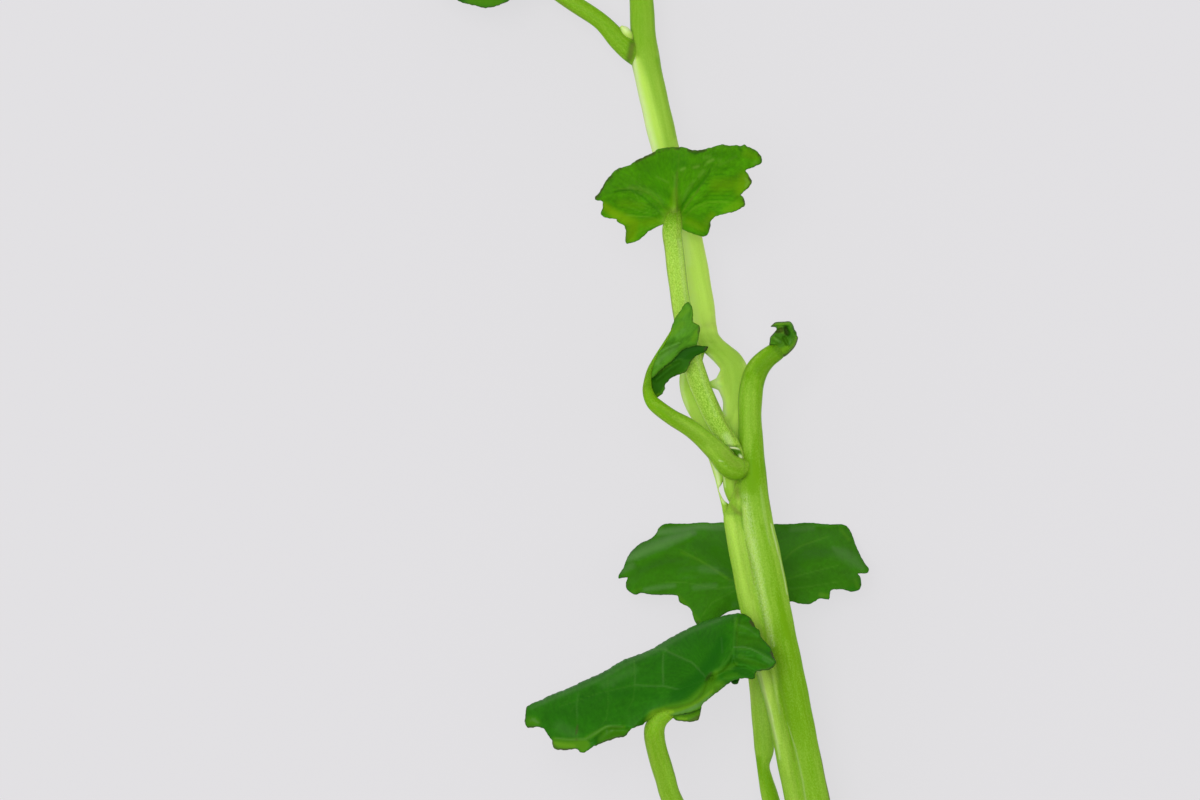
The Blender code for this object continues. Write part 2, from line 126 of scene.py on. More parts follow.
REAR_SIDE_STALK = (
    (8, -11.7, 12.2, 0.62), (7.7, -10.9, 12.2, 0.5), (7.26, -10.15, 12.2, 0.2),
    (6.98, -9.45, 12.15, 0.09), (6.8, -8.85, 12.1, 0.07), (6.9, -8.3, 12, 0.3),
    (6.93, -7.3, 11.9, 0.6), (6.5, -5.4, 11.4, 0.75), (6.2, -3.6, 10.9, 0.92),
    (5.3, -1.8, 10.4, 1.02), (4.4, 0, 9.9, 1.07), (4, 1.8, 9.5, 1.05), (4.15, 3.3, 9.3, 0.98),
    (4.6, 4.9, 9.2, 0.9), (5.3, 6.3, 9.1, 0.7),
)
UPPER_STALK = (
    (9, -6.6, 14.3, 0.8), (8.3, -5, 14.9, 0.9), (7.3, -3.3, 15.1, 0.95), (6.2, -1.3, 15, 1),
    (4.95, 1.6, 14.8, 1.04), (4.1, 4.4, 14.7, 1), (3.35, 8, 14.6, 0.97), (2.75, 12, 14.6, 0.95),
    (2.4, 15, 14.6, 0.95), (2.2, 16.6, 14.6, 0.97), (2.25, 17.5, 14.75, 0.96),
    (2.35, 18.3, 14.95, 0.85), (2.45, 19.3, 15.6, 0.58), (2.55, 20.5, 16.7, 0.36),
    (2.65, 22, 18.1, 0.16),
)
FOLDED_STALK = (
    (10.4, -6.1, 14.45, 0.4), (9.9, -6.4, 14.6, 0.66), (9.3, -6.65, 14.7, 0.95),
    (8.75, -6.8, 14.9, 1.18), (8.25, -6.7, 15.4, 1.24), (7.55, -6.25, 16.1, 1.17),
    (6.4, -4.9, 16.8, 1.04), (4.2, -2.95, 17.2, 0.9), (2.2, -1.75, 17.3, 0.8),
    (0.75, -0.7, 17.2, 0.73), (0.1, 0, 17.15, 0.64), (-0.25, 0.95, 17.15, 0.52),
    (-0.25, 1.9, 17.2, 0.38), (-0.03, 3.05, 17.3, 0.25), (0.58, 4.29, 17.4, 0.18),
    (1.4, 5.63, 17.5, 0.14), (2.13, 6.87, 17.6, 0.1), (2.5, 7.8, 17.6, 0.06),
)
REAR_LEAF_STALK = (
    (16.8, -55.6, 3.4, 0.8), (15.6, -53.4, 3.6, 0.95), (14.9, -51.2, 3.9, 0.95),
    (14, -47.5, 4.9, 0.9), (12.9, -43, 6.1, 0.9), (12.1, -40, 6.7, 0.88), (11.6, -38, 7, 0.72),
    (11.35, -36.6, 7.1, 0.66), (11.45, -34.8, 7, 0.98), (11.2, -31.5, 6.8, 1.02),
    (10.85, -28, 6.4, 0.98), (10.3, -24, 5.7, 0.85), (9.85, -21, 5.2, 0.7),
    (9.6, -18.4, 5.1, 0.45),
)
FRONT_LEAF_STALK = (
    (19, -58.4, 2.6, 0.9), (17.4, -57.6, 2.9, 1.1), (15.2, -55.9, 3.9, 1.08),
    (11.5, -52.4, 6.3, 1.02), (7.6, -48, 9.4, 1), (4.6, -43.8, 12.3, 1), (2.25, -40, 14.6, 1.02),
    (1.5, -37.7, 15.8, 1.04), (0.7, -35, 17, 1.02), (0.42, -33.5, 17.7, 1.02),
    (0.5, -32.6, 18.1, 1), (1, -31.8, 18.32, 0.88), (1.9, -31.15, 18.38, 0.72),
    (3, -30.7, 18.3, 0.5), (4.4, -30, 17.8, 0.35),
)
TOP_LEAF_STALK = (
    (-0.9, 34, 6.8, 0.9), (-2, 35, 7, 1.08), (-3.1, 36, 7.1, 1), (-5, 38, 6.9, 0.86),
    (-8, 40, 6.5, 0.85), (-10.6, 41.9, 5.7, 0.8), (-12.9, 43.7, 4.5, 0.7), (-14, 44.6, 4.2, 0.5),
)
TIP_LEAF_STALK = (
    (-1.8, 49.6, 4, 0.6), (-0.6, 50.4, 3.9, 0.6), (1, 52, 3.3, 0.56), (2.1, 53.1, 2.8, 0.52),
    (3.4, 54.5, 2.4, 0.35),
)
TIP_BUD = (
    (-3.1, 55.3, 2.35, 0.7), (-3.4, 56.4, 2.05, 0.85), (-3.6, 57.4, 1.75, 1.08),
    (-3.95, 58.5, 1.4, 1.05), (-4.25, 59.4, 0.95, 0.62), (-4.42, 59.9, 0.65, 0.12),
)
FRONT_AXIL_BUD = (
    (9.1, -5.9, 15.3, 0.12), (8.98, -5.6, 15.6, 0.26), (8.7, -5.15, 15.85, 0.33),
    (8.4, -4.9, 15.9, 0.26), (8, -4.72, 15.85, 0.1),
)
REAR_AXIL_BUD = (
    (-1.9, 36.1, 6.9, 0.45), (-2.3, 36.6, 7.2, 0.55), (-2.6, 37.05, 7.3, 0.48),
    (-2.85, 37.35, 7.3, 0.22),
)


class CressSizes(bpy.types.PropertyGroup):
    """Sizes that shape the blades and stems."""

    blade_thickness: FloatProperty(
        name="Blade Thickness", description="Thickness of a leaf blade",
        default=0.0002, min=0.0001, max=0.0006, unit="LENGTH",
    )
    vein_relief: FloatProperty(
        name="Vein Relief", description="How far the veins stand out of the upper leaf",
        default=0.00012, min=0.0, max=0.0004, unit="LENGTH",
    )
    blade_gap: FloatProperty(
        name="Blade Mesh Gap", description="Distance between the points of a blade's mesh",
        default=0.00015, min=0.00008, max=0.001, unit="LENGTH",
    )
    stem_gap: FloatProperty(
        name="Stem Mesh Gap", description="Distance between the rings of a stem's mesh",
        default=0.00018, min=0.00008, max=0.001, unit="LENGTH",
    )


class CressColours(bpy.types.PropertyGroup):
    """Colours of the living plant and of the stage."""

    stem_deep: FloatVectorProperty(
        name="Stem Deep", description="Deepest green of the stems",
        subtype="COLOR", default=(0.150, 0.345, 0.004), min=0.0, max=1.0,
    )
    stem_pale: FloatVectorProperty(
        name="Stem Pale", description="Palest yellow-green of the stems",
        subtype="COLOR", default=(0.47, 0.70, 0.105), min=0.0, max=1.0,
    )
    # Colour of the frosty dots, and also of the light paint, which lays painted highlights on the
    # stems.
    stem_frost_and_highlight: FloatVectorProperty(
        name="Stem Frost", description="Whitish light in the stems' thin skin",
        subtype="COLOR", default=(0.68, 0.82, 0.42), min=0.0, max=1.0,
    )
    stem_shade: FloatVectorProperty(
        name="Stem Shade", description="Green in the creases of the stems",
        subtype="COLOR", default=(0.045, 0.15, 0.004), min=0.0, max=1.0,
    )
    leaf_dark: FloatVectorProperty(
        name="Dark Leaf", description="Green of the old leaves",
        subtype="COLOR", default=(0.019, 0.136, 0.002), min=0.0, max=1.0,
    )
    # Partly painted light: the leaf's own paler green, made brighter as it looks with light
    # shining through it.
    leaf_light: FloatVectorProperty(
        name="Light Leaf", description="Green of the leaf that the light shines through",
        subtype="COLOR", default=(0.085, 0.345, 0.002), min=0.0, max=1.0,
    )
    leaf_young: FloatVectorProperty(
        name="Young Leaf", description="Green of the young folded leaf",
        subtype="COLOR", default=(0.066, 0.225, 0.009), min=0.0, max=1.0,
    )
    margin: FloatVectorProperty(
        name="Leaf Margin", description="Red-brown line along the leaf margins",
        subtype="COLOR", default=(0.06, 0.035, 0.02), min=0.0, max=1.0,
    )
    floor: FloatVectorProperty(
        name="Floor", description="Pale floor",
        subtype="COLOR", default=(0.09, 0.0888, 0.0905), min=0.0, max=1.0,
    )
    floor_glow: FloatVectorProperty(
        name="Floor Glow", description="Light that comes up through the floor",
        subtype="COLOR", default=(0.655, 0.646, 0.664), min=0.0, max=1.0,
    )


def sizes():
    return bpy.context.scene.cress_sizes


def colours():
    return bpy.context.scene.cress_colours


# Curves and strokes

def smooth_rows(stations, closed=False, steps=12):
    """Rows along a smooth curve through the stations, with all their columns."""
    rows = np.array(stations, float)
    first, last = (rows[-1:], rows[:2]) if closed else (rows[:1], rows[-1:])
    padded = np.vstack([first, rows, last])
    t = np.linspace(0, 1, steps, endpoint=False)[:, None]
    stretches = []
    for before, start, end, after in zip(padded, padded[1:], padded[2:], padded[3:]):
        slope_in = (end - before) / 2
        slope_out = (after - start) / 2
        change = end - start
        bend = 3 * change - 2 * slope_in - slope_out
        twist = slope_in + slope_out - 2 * change
        stretches.append(start + t * (slope_in + t * (bend + t * twist)))
    return np.vstack([*stretches, last[:1]])


def even_rows(stations, gap, closed=False):
    """Rows about one gap apart along a smooth curve, and how far along each one is."""
    curve = smooth_rows(stations, closed)
    steps = np.linalg.norm(np.diff(curve[:, :3], axis=0), axis=1)
    travelled = np.concatenate([[0], np.cumsum(steps)])
    count = max(int(travelled[-1] / gap), 2)
    wanted = np.linspace(0, travelled[-1], count + 1)
    rows = np.column_stack([np.interp(wanted, travelled, column) for column in curve.T])
    return (rows[:-1], wanted[:-1]) if closed else (rows, wanted)


def stroke(points, line):
    """How strongly a line of (x, y, half width) covers each point, fading out to its sides."""
    most = np.zeros(len(points))
    ends = line if len(line) > 1 else (line[0], line[0])
    for start, end in zip(ends, ends[1:]):
        start, end = np.array(start), np.array(end)
        along = end[:2] - start[:2]
        share = np.clip((points - start[:2]) @ along / max(along @ along, 1e-9), 0, 1)
        off = np.linalg.norm(points - start[:2] - share[:, None] * along, axis=1)
        off /= start[2] + share * (end[2] - start[2])
        most = np.maximum(most, np.clip(1 - off * off, 0, 1) ** 2)
    return most


def area(points, corners, softness):
    """How strongly a smooth closed area round the corners covers each point."""
    line = smooth_rows(corners, closed=True, steps=5)[:-1]
    off, _ = distance_to_rim(points, line)
    return soft_step(np.where(inside(points, line), off, -off), -softness, softness)


def cover(points, shapes):
    """The strongest shape at each point: (strength, line) or (strength, corners, softness)."""
    most = np.zeros(len(points))
    for strength, places, *softness in shapes:
        this = area(points, places, *softness) if softness else stroke(points, places)
        most = np.maximum(most, strength * this)
    return most


def line_cover(points, lines):
    """The strongest of some lines at each point."""
    return cover(points, [(1, line) for line in lines])


def lifted(z, points, lifts, share=1):
    """z raised by lines and areas: (height, line) or (height, corners, softness)."""
    for height, *shape in lifts:
        z = z + height * cover(points, [(1, *shape)]) * share
    return z


def distance_to_rim(points, rim):
    """Distance from each point to a closed line, and the number of its nearest stretch."""
    best = np.full(len(points), 1e9)
    nearest = np.zeros(len(points), int)
    for i, (start, end) in enumerate(zip(rim, np.roll(rim, -1, axis=0))):
        along = end - start
        share = np.clip((points - start) @ along / max(along @ along, 1e-12), 0, 1)
        off = np.linalg.norm(points - start - share[:, None] * along, axis=1)
        nearer = off < best
        best[nearer] = off[nearer]
        nearest[nearer] = i
    return best, nearest


def inside(points, rim):
    """Which points lie inside a closed line."""
    odd = np.zeros(len(points), bool)
    for (x0, y0), (x1, y1) in zip(rim, np.roll(rim, -1, axis=0)):
        if y0 == y1:
            continue
        crosses = (y0 > points[:, 1]) != (y1 > points[:, 1])
        x = x0 + (points[:, 1] - y0) / (y1 - y0) * (x1 - x0)
        odd ^= crosses & (points[:, 0] < x)
    return odd


def soft_step(value, low, high):
    """0 below the low value, 1 above the high one, and a smooth rise between them."""
    share = np.clip((value - low) / (high - low), 0, 1)
    return share * share * (3 - 2 * share)


# Meshes

def add_piece(name, points, faces, marks, material, slot, closed=True):
    """A mesh piece from points in millimetres, with its marks as point attributes."""
    mesh = bpy.data.meshes.new(name)
    mesh.from_pydata((np.asarray(points) * MM).tolist(), [], faces)
    for mark, values in marks.items():
        values = np.asarray(values, np.float32)
        kind, field = ("FLOAT_VECTOR", "vector") if values.ndim == 2 else ("FLOAT", "value")
        mesh.attributes.new(mark, kind, "POINT").data.foreach_set(field, values.ravel())
    mesh.update()
    if closed:
        bm = bmesh.new()
        bm.from_mesh(mesh)
        bmesh.ops.recalc_face_normals(bm, faces=bm.faces)
        bm.to_mesh(mesh)
        bm.free()
    mesh.shade_smooth()
    mesh.materials.append(material)
    piece = bpy.data.objects.new(name, mesh)
    bpy.context.scene.collection.objects.link(piece)
    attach(piece, BODY)
    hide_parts(name)
    return piece


def stem_frames(path):
    """The tangent, side and rise at each row of a stem's path."""
    tangent = np.gradient(path[:, :3], axis=0)
    tangent /= np.linalg.norm(tangent, axis=1)[:, None]
    side = np.cross(tangent, (0, 0, 1))
    side /= np.linalg.norm(side, axis=1)[:, None]
    return tangent, side, np.cross(side, tangent)


def circle_reach(angles, centre, radius):
    """How far rays from a section's origin go to leave a circle of it, one row per section."""
    along = np.cos(angles) * centre[0][:, None] + np.sin(angles) * centre[1][:, None]
    under_root = along ** 2 - (centre[0] ** 2 + centre[1] ** 2 - radius ** 2)[:, None]
    reach = along + np.sqrt(np.clip(under_root, 0, None))
    return np.where(under_root < 0, 0, np.clip(reach, 0, None))


def fused_sections(path, side, rise, angles, sway, ridge):
    """The middle of each section of a stem fused to its ridge, and its reach at each angle."""
    table = np.array(ridge)
    y = path[:, 1]
    shift_x, shift_z, ridge_radius = (np.interp(y, table[:, 0], c) for c in table[:, 1:].T)
    present = (y <= table[-1, 0]).astype(float)
    lobe = np.column_stack([shift_x * side[:, 0], shift_z * rise[:, 2]])
    middle = RIDGE_MIDDLE * lobe * present[:, None]
    radius = path[:, 3]
    joined = 0
    for centre, size, share in (
        (0 * lobe, radius, 1 + 0 * present),
        (lobe, ridge_radius, present),
        (0.5 * lobe, BRIDGE_WIDTH * 0.5 * (radius + ridge_radius), present),
    ):
        reach = circle_reach(angles, (centre - middle).T, size * sway) * share[:, None]
        joined = joined + reach ** JOIN_POWER
    return middle, joined ** (1 / JOIN_POWER)


def stem_marks(points, facing_up, tones, paints):
    """A stem's tone along its length, and the paints laid on its upper side."""
    tones = np.array(tones)
    top = soft_step(facing_up, *UPPER_SIDE)
    place = points[:, :2]
    tone = np.interp(points[:, 1], tones[:, 0], tones[:, 1])
    tone += top * (cover(place, paints.get("pale", ())) - cover(place, paints.get("deep", ())))
    marks = {kind: cover(place, paints.get(kind, ())) * top for kind in STEM_MARKS}
    return {"tone": tone} | marks


def ring_faces(first, second):
    """The quads between two rings of numbered points."""
    return np.column_stack([first, np.roll(first, -1), np.roll(second, -1), second]).tolist()


def make_stem(name, stations, tones, paints, material, slot, ribs=(7, 0.012), sides=48,
              ridge=None, cut_end=False):
    """A stem as a closed loft: ribbed lightly, rounded at its ends, and fused to a ridge if given.

    tones are (y, tone), from 0 for deep green to 1 for pale. ribs are their number and depth.
    """
    path, along = even_rows(stations, sizes().stem_gap / MM)
    tangent, side, rise = stem_frames(path)
    angles = 2 * np.pi * np.arange(sides) / sides
    count = len(path)
    radius = path[:, 3]
    sway = 1 + 0.012 * np.sin(along * 1.7 + len(name)) + 0.01 * np.sin(along * 0.61)
    if ridge:
        middle, reach = fused_sections(path, side, rise, angles, sway, ridge)
    else:
        middle, reach = np.zeros((count, 2)), (radius * sway)[:, None]
    reach = reach * (1 + ribs[1] * np.cos(ribs[0] * angles + 1.3))
    side, rise = side[:, None, :], rise[:, None, :]
    across = middle[:, :1] + reach * np.cos(angles)
    upward = middle[:, 1:] + reach * np.sin(angles)
    rings = path[:, None, :3] + side * across[:, :, None] + rise * upward[:, :, None]
    fibre = np.stack([across, upward, np.repeat(along[:, None], sides, axis=1)], axis=2)
    outward = side * np.cos(angles)[:, None] + rise * np.sin(angles)[:, None]
    points, fibres = [rings.reshape(-1, 3)], [fibre.reshape(-1, 3)]
    ups, cut = [outward[:, :, 2].ravel()], [np.zeros(count * sides)]
    numbers = np.arange(count * sides).reshape(count, sides)
    faces = [face for pair in zip(numbers, numbers[1:]) for face in ring_faces(*pair)]
    total = count * sides
    for end, sign in ((0, -1), (count - 1, 1)):
        flat = cut_end and end == 0
        centre = rings[end].mean(axis=0)
        last = numbers[end]
        for share in CUT_RINGS if flat else ROUND_RINGS:
            round_bulge = ROUND_BULGE * math.sqrt(1 - share * share)
            bulge = -CUT_HOLLOW * (1 - share) if flat else round_bulge
            shift = sign * tangent[end] * bulge * radius[end]
            points.append(centre + (rings[end] - centre) * share + shift)
            fibres.append(fibre[end] * (share, share, 1))
            ups.append(outward[end][:, 2])
            cut.append(np.full(sides, float(flat)))
            this = total + np.arange(sides)
            faces += ring_faces(last, this)
            last = this
            total += sides
        faces.append(last.tolist())
    points = np.vstack(points)
    marks = stem_marks(points, np.concatenate(ups), tones, paints)
    marks |= {"fibre": np.vstack(fibres), "cut": np.concatenate(cut)}
    return add_piece(name, points, faces, marks, material, slot)


def wound(rim):
    """The same rim, running anticlockwise."""
    ahead = np.roll(rim, -1, axis=0)
    turning = np.sum(rim[:, 0] * ahead[:, 1] - ahead[:, 0] * rim[:, 1])
    return rim[::-1] if turning < 0 else rim


def fill_outline(rim, gap):
    """Points and upward-facing triangles that fill a rim, and which points are the rim's."""
    low, high = rim.min(axis=0), rim.max(axis=0)
    rows = []
    for i, y in enumerate(np.arange(low[1], high[1], gap * math.sqrt(3) / 2)):
        xs = np.arange(low[0] + (i % 2) * gap / 2, high[0], gap)
        rows.append(np.column_stack([xs, np.full(len(xs), y)]))
    grid = np.vstack(rows)
    grid = grid[inside(grid, rim)]
    grid = grid[distance_to_rim(grid, rim)[0] > 0.6 * gap]
    seeds = [Vector(p) for p in np.vstack([rim, grid]).tolist()]
    found = delaunay_2d_cdt(seeds, [], [list(range(len(rim)))], 1, 1e-7)
    points = np.array([tuple(p) for p in found[0]])
    faces = []
    for a, b, c in found[2]:
        (ax, ay), (bx, by), (cx, cy) = points[a], points[b], points[c]
        upward = (bx - ax) * (cy - ay) - (by - ay) * (cx - ax) > 0
        faces.append((a, b, c) if upward else (a, c, b))
    rim_at = np.zeros(len(rim), int)
    for here, came_from in enumerate(found[3]):
        for seed in came_from:
            if seed < len(rim):
                rim_at[seed] = here
    return points, faces, rim_at


def branch_veins(mains, seed, every, reach):
    """Side veins that leave each main vein on alternate sides and curve towards the margin."""
    chance = random.Random(seed)
    steps = 4
    found = []
    for line in mains:
        rows, along = even_rows(line, 0.2)
        hand = chance.choice((-1, 1))
        place = 0.35 * every + chance.random() * 0.3
        while place < along[-1] - 0.4:
            k = min(int(np.searchsorted(along, place)), len(rows) - 2)
            heading = rows[k + 1][:2] - rows[k][:2]
            angle = math.atan2(heading[1], heading[0])
            angle += hand * math.radians(chance.uniform(32, 55))
            length = reach * chance.uniform(0.6, 1.1) * (1 - 0.35 * place / along[-1])
            width = max(0.5 * rows[k][2], 0.055)
            vein = [(rows[k][0], rows[k][1], width)]
            for step in range(1, steps + 1):
                angle -= hand * math.radians(chance.uniform(2, 12))
                x = vein[-1][0] + math.cos(angle) * length / steps
                y = vein[-1][1] + math.sin(angle) * length / steps
                vein.append((x, y, width * (1 - 0.14 * step)))
            found.append((chance.uniform(0.3, 0.6), tuple(vein)))
            hand = -hand
            place += every * chance.uniform(0.35, 0.75)
    return found


def rim_line(to_rim):
    """How strongly the line along a rim covers points at these distances from it."""
    return 1 - soft_step(to_rim, 0.0, RIM_LINE)


def leaf_marks(points, paints):
    """The marks of every kind of paint on a leaf."""
    return {kind: cover(points, paints.get(kind, ())) for kind in LEAF_MARKS}


def blade_sheet(sheet, seed):
    """The points, faces and marks of one sheet of a blade, as a dictionary describes it.

    rim is its outline. hub, tilt and swell place its plane, waves ruffle its margin, and lifts
    raise lines and areas of it. hang tells how far its margin turns down at places along it.
    """
    gap = sizes().blade_gap / MM
    rim, rim_along = even_rows(sheet["rim"], gap, closed=True)
    rim = wound(rim)
    step = np.roll(rim, -1, axis=0) - np.roll(rim, 1, axis=0)
    out = np.column_stack([step[:, 1], -step[:, 0]])
    out /= np.linalg.norm(out, axis=1)[:, None]
    fret = sum(np.sin(rim_along * often + seed * shift) for often, shift in FRET_WAVES)
    rim = rim + out * sheet.get("fret", 0.015) * fret[:, None]
    points, faces, rim_at = fill_outline(rim, gap)
    to_rim, nearest = distance_to_rim(points, rim)
    hub = np.array(sheet["hub"])
    away = points - hub[:2]
    to_hub = np.linalg.norm(away, axis=1)
    share = to_hub / (to_hub + to_rim + 1e-9)
    z = hub[2] + away @ np.array(sheet["tilt"]) + sheet["swell"] * 4 * share * (1 - share)
    turn = np.arctan2(away[:, 1], away[:, 0])
    for count, depth, phase in sheet.get("waves", ()):
        z += depth * share ** 2 * np.cos(count * turn + phase)
    z = lifted(z, points, sheet.get("lifts", ()))
    mains = sheet.get("veins", ())
    vein = line_cover(points, mains)
    if "branching" in sheet:
        vein = np.maximum(vein, cover(points, branch_veins(mains, seed, *sheet["branching"])))
    z += sheet.get("relief", -0.5) * vein * sizes().vein_relief / MM
    if "hang" in sheet:
        hang = hang_along(rim, sheet["hang"])
        held = np.clip(hang[nearest] / FULL_ROLL, 0, 1)
        inward = np.clip(1 - to_rim / sheet["roll"], 0, 1)
        z -= held * sheet["roll"] * (1 - np.sqrt(1 - inward ** 2))
    cloud = np.column_stack([points, np.maximum(z, LOWEST_BLADE)])
    edge = sheet.get("edge", 0.8) * rim_line(to_rim)
    edge *= 1 - line_cover(points, sheet.get("plain", ()))
    flow = np.column_stack([3 * np.arctan2(away[:, 0], away[:, 1]), 0.3 * to_hub, 0 * turn])
    marks = {"vein": vein * sheet.get("vein_paint", 1.0), "rim": edge, "flow": flow}
    marks |= leaf_marks(points, sheet.get("paints", {}))
    if "hang" in sheet:
        marks["rim"] *= 1 - np.clip(hang[nearest] / 0.8, 0, 1)
        return add_hanging_margin(cloud, faces, marks, rim_at, out, hang, rim_along)
    return cloud, faces, marks


def make_blade(name, sheets, material, slot):
    """A leaf blade made of one sheet or several that lie over each other, with thickness."""
    parts = [blade_sheet(sheet, len(name) + i) for i, sheet in enumerate(sheets)]
    faces, start = [], 0
    for cloud, sheet_faces, _ in parts:
        faces += [tuple(v + start for v in face) for face in sheet_faces]
        start += len(cloud)
    cloud = np.vstack([part[0] for part in parts])
    marks = {mark: np.concatenate([part[2][mark] for part in parts]) for mark in parts[0][2]}
    piece = add_piece(name, cloud, faces, marks, material, slot, closed=False)
    thick = piece.modifiers.new("Thickness", "SOLIDIFY")
    thick.thickness = sizes().blade_thickness
    thick.offset = -1
    return piece


def hang_along(rim, table):
    """How far the margin hangs at each point of a rim: the table is (x, y, hang)."""
    rows = np.array(table)
    apart = np.linalg.norm(rim[:, None, :] - rows[None, :, :2], axis=2)
    weight = 1 / (apart + 0.05) ** 3
    return (weight @ rows[:, 2]) / weight.sum(axis=1)


def add_hanging_margin(cloud, faces, marks, rim_at, out, hang, rim_along):
    """Adds the part of a sheet that turns down past its outline and hangs there."""
    count = len(rim_at)
    tooth = 1 + 0.16 * np.cos(rim_along * 2 * np.pi / TOOTH_LENGTH) ** 3
    tooth = tooth + 0.05 * np.sin(rim_along * 4.3)
    start = cloud[rim_at]
    inward = np.column_stack([-out, np.zeros(count)])
    clouds, keep = [cloud], {mark: [values] for mark, values in marks.items()}
    above, made, total = rim_at, list(faces), len(cloud)
    for i in range(1, HANGING_ROWS + 1):
        fall = hang * tooth * i / HANGING_ROWS
        ring = start + inward * (0.12 * fall + 0.05 * fall ** 2)[:, None]
        ring[:, 2] -= fall
        clouds.append(ring)
        here = total + np.arange(count)
        for j in range(count):
            k = (j + 1) % count
            if hang[j] > LEAST_HANG and hang[k] > LEAST_HANG:
                made.append((int(above[k]), int(above[j]), int(here[j]), int(here[k])))
        above = here
        total += count
        for mark, values in marks.items():
            keep[mark].append(values[rim_at])
        keep["rim"][-1] = 0.8 * soft_step(-(1 - i / HANGING_ROWS) * hang, -0.16, -0.02)
    return drop_unused(np.vstack(clouds), made, {m: np.concatenate(v) for m, v in keep.items()})


def drop_unused(cloud, faces, marks):
    """The same mesh without the points that no face uses."""
    used = np.unique([v for face in faces for v in face])
    place = np.full(len(cloud), -1)
    place[used] = np.arange(len(used))
    faces = [tuple(int(place[v]) for v in face) for face in faces]
    return cloud[used], faces, {mark: values[used] for mark, values in marks.items()}


def make_puffed(name, form, material, slot):
    """A small plump closed form from an outline: swollen above and below, with folds on top."""
    rim = wound(even_rows(form["rim"], PUFFED_GAP, closed=True)[0])
    points, faces, _ = fill_outline(rim, PUFFED_GAP)
    to_rim, _ = distance_to_rim(points, rim)
    depth, hub = form["depth"], form["hub"]
    swell = np.sqrt(1 - (1 - np.clip(to_rim / depth, 0, 1)) ** 2) * depth
    middle = hub[2] + (points - hub[:2]) @ np.array(form["tilt"])
    vein = line_cover(points, form["veins"])
    top = middle + swell + 0.03 * vein
    top = lifted(top, points, form["lifts"], np.clip(to_rim / 0.15, 0, 1))
    under = middle - 0.8 * swell
    count = len(points)
    place = np.where(to_rim < 1e-5, np.arange(count), np.arange(count) + count)
    made = faces + [tuple(int(place[v]) for v in reversed(face)) for face in faces]
    cloud = np.vstack([np.column_stack([points, top]), np.column_stack([points, under])])
    flow = np.column_stack([points * (1.0, 0.6), 0 * top])
    marks = {"vein": vein, "rim": 0.45 * rim_line(to_rim), "flow": flow}
    marks |= leaf_marks(points, form["paints"])
    marks = {mark: np.concatenate([values, values]) for mark, values in marks.items()}
    return add_piece(name, *drop_unused(cloud, made, marks), material, slot)


# Materials

def feed(tree, socket, value):
    """Links a socket to another one, or sets it to a number, a vector or a colour."""
    if isinstance(value, bpy.types.NodeSocket):
        tree.links.new(value, socket)
    else:
        socket.default_value = (*value, 1.0) if socket.type == "RGBA" else value


def new_node(tree, kind, **values):
    """A shader node, with its sockets and settings fed or set by name."""
    node = tree.nodes.new(kind)
    for key, value in values.items():
        match = [s for s in node.inputs if s.name.lower() == key.replace("_", " ").lower()]
        if match:
            feed(tree, match[0], value)
        else:
            setattr(node, key, value)
    return node


def mark_value(tree, name, output="Fac"):
    """The value of one of a piece's marks."""
    return new_node(tree, "ShaderNodeAttribute", attribute_name=name).outputs[output]


def mixed(tree, share, low, high):
    """The colour output of a mix of two colours; each of the three may be a socket or a value."""
    node = new_node(tree, "ShaderNodeMix", data_type="RGBA")
    for socket, value in ((0, share), (6, low), (7, high)):
        feed(tree, node.inputs[socket], value)
    return node.outputs[2]


def maths(tree, what, *values):
    """A sum or a product of values, each a socket or a number."""
    node = new_node(tree, "ShaderNodeMath", operation=what)
    for socket, value in zip(node.inputs, values):
        feed(tree, socket, value)
    return node.outputs[0]


def spread(tree, value, low, high, to_low=0.0, to_high=1.0):
    """A value mapped from one range to another, clamped."""
    node = new_node(
        tree, "ShaderNodeMapRange", Value=value, From_Min=low, From_Max=high, To_Min=to_low,
        To_Max=to_high,
    )
    return node.outputs["Result"]


def noise(tree, place, scale, detail, roughness=0.5):
    """The value of a noise texture at a place."""
    node = new_node(
        tree, "ShaderNodeTexNoise", Vector=place, Scale=scale, Detail=detail, Roughness=roughness
    )
    return node.outputs["Fac"]


def new_group(name, inputs, outputs):
    """An empty shader node group with its sockets, and its input and output nodes."""
    tree = bpy.data.node_groups.new(name, "ShaderNodeTree")
    for socket, kind, default in inputs:
        made = tree.interface.new_socket(socket, in_out="INPUT", socket_type=kind)
        made.default_value = default
    for socket, kind in outputs:
        tree.interface.new_socket(socket, in_out="OUTPUT", socket_type=kind)
    return tree, tree.nodes.new("NodeGroupInput").outputs, tree.nodes.new("NodeGroupOutput").inputs


def scaled_vector(tree, source, scale):
    """A vector with each of its parts scaled."""
    node = new_node(tree, "ShaderNodeVectorMath", operation="MULTIPLY")
    feed(tree, node.inputs[0], source)
    feed(tree, node.inputs[1], scale)
    return node.outputs[0]


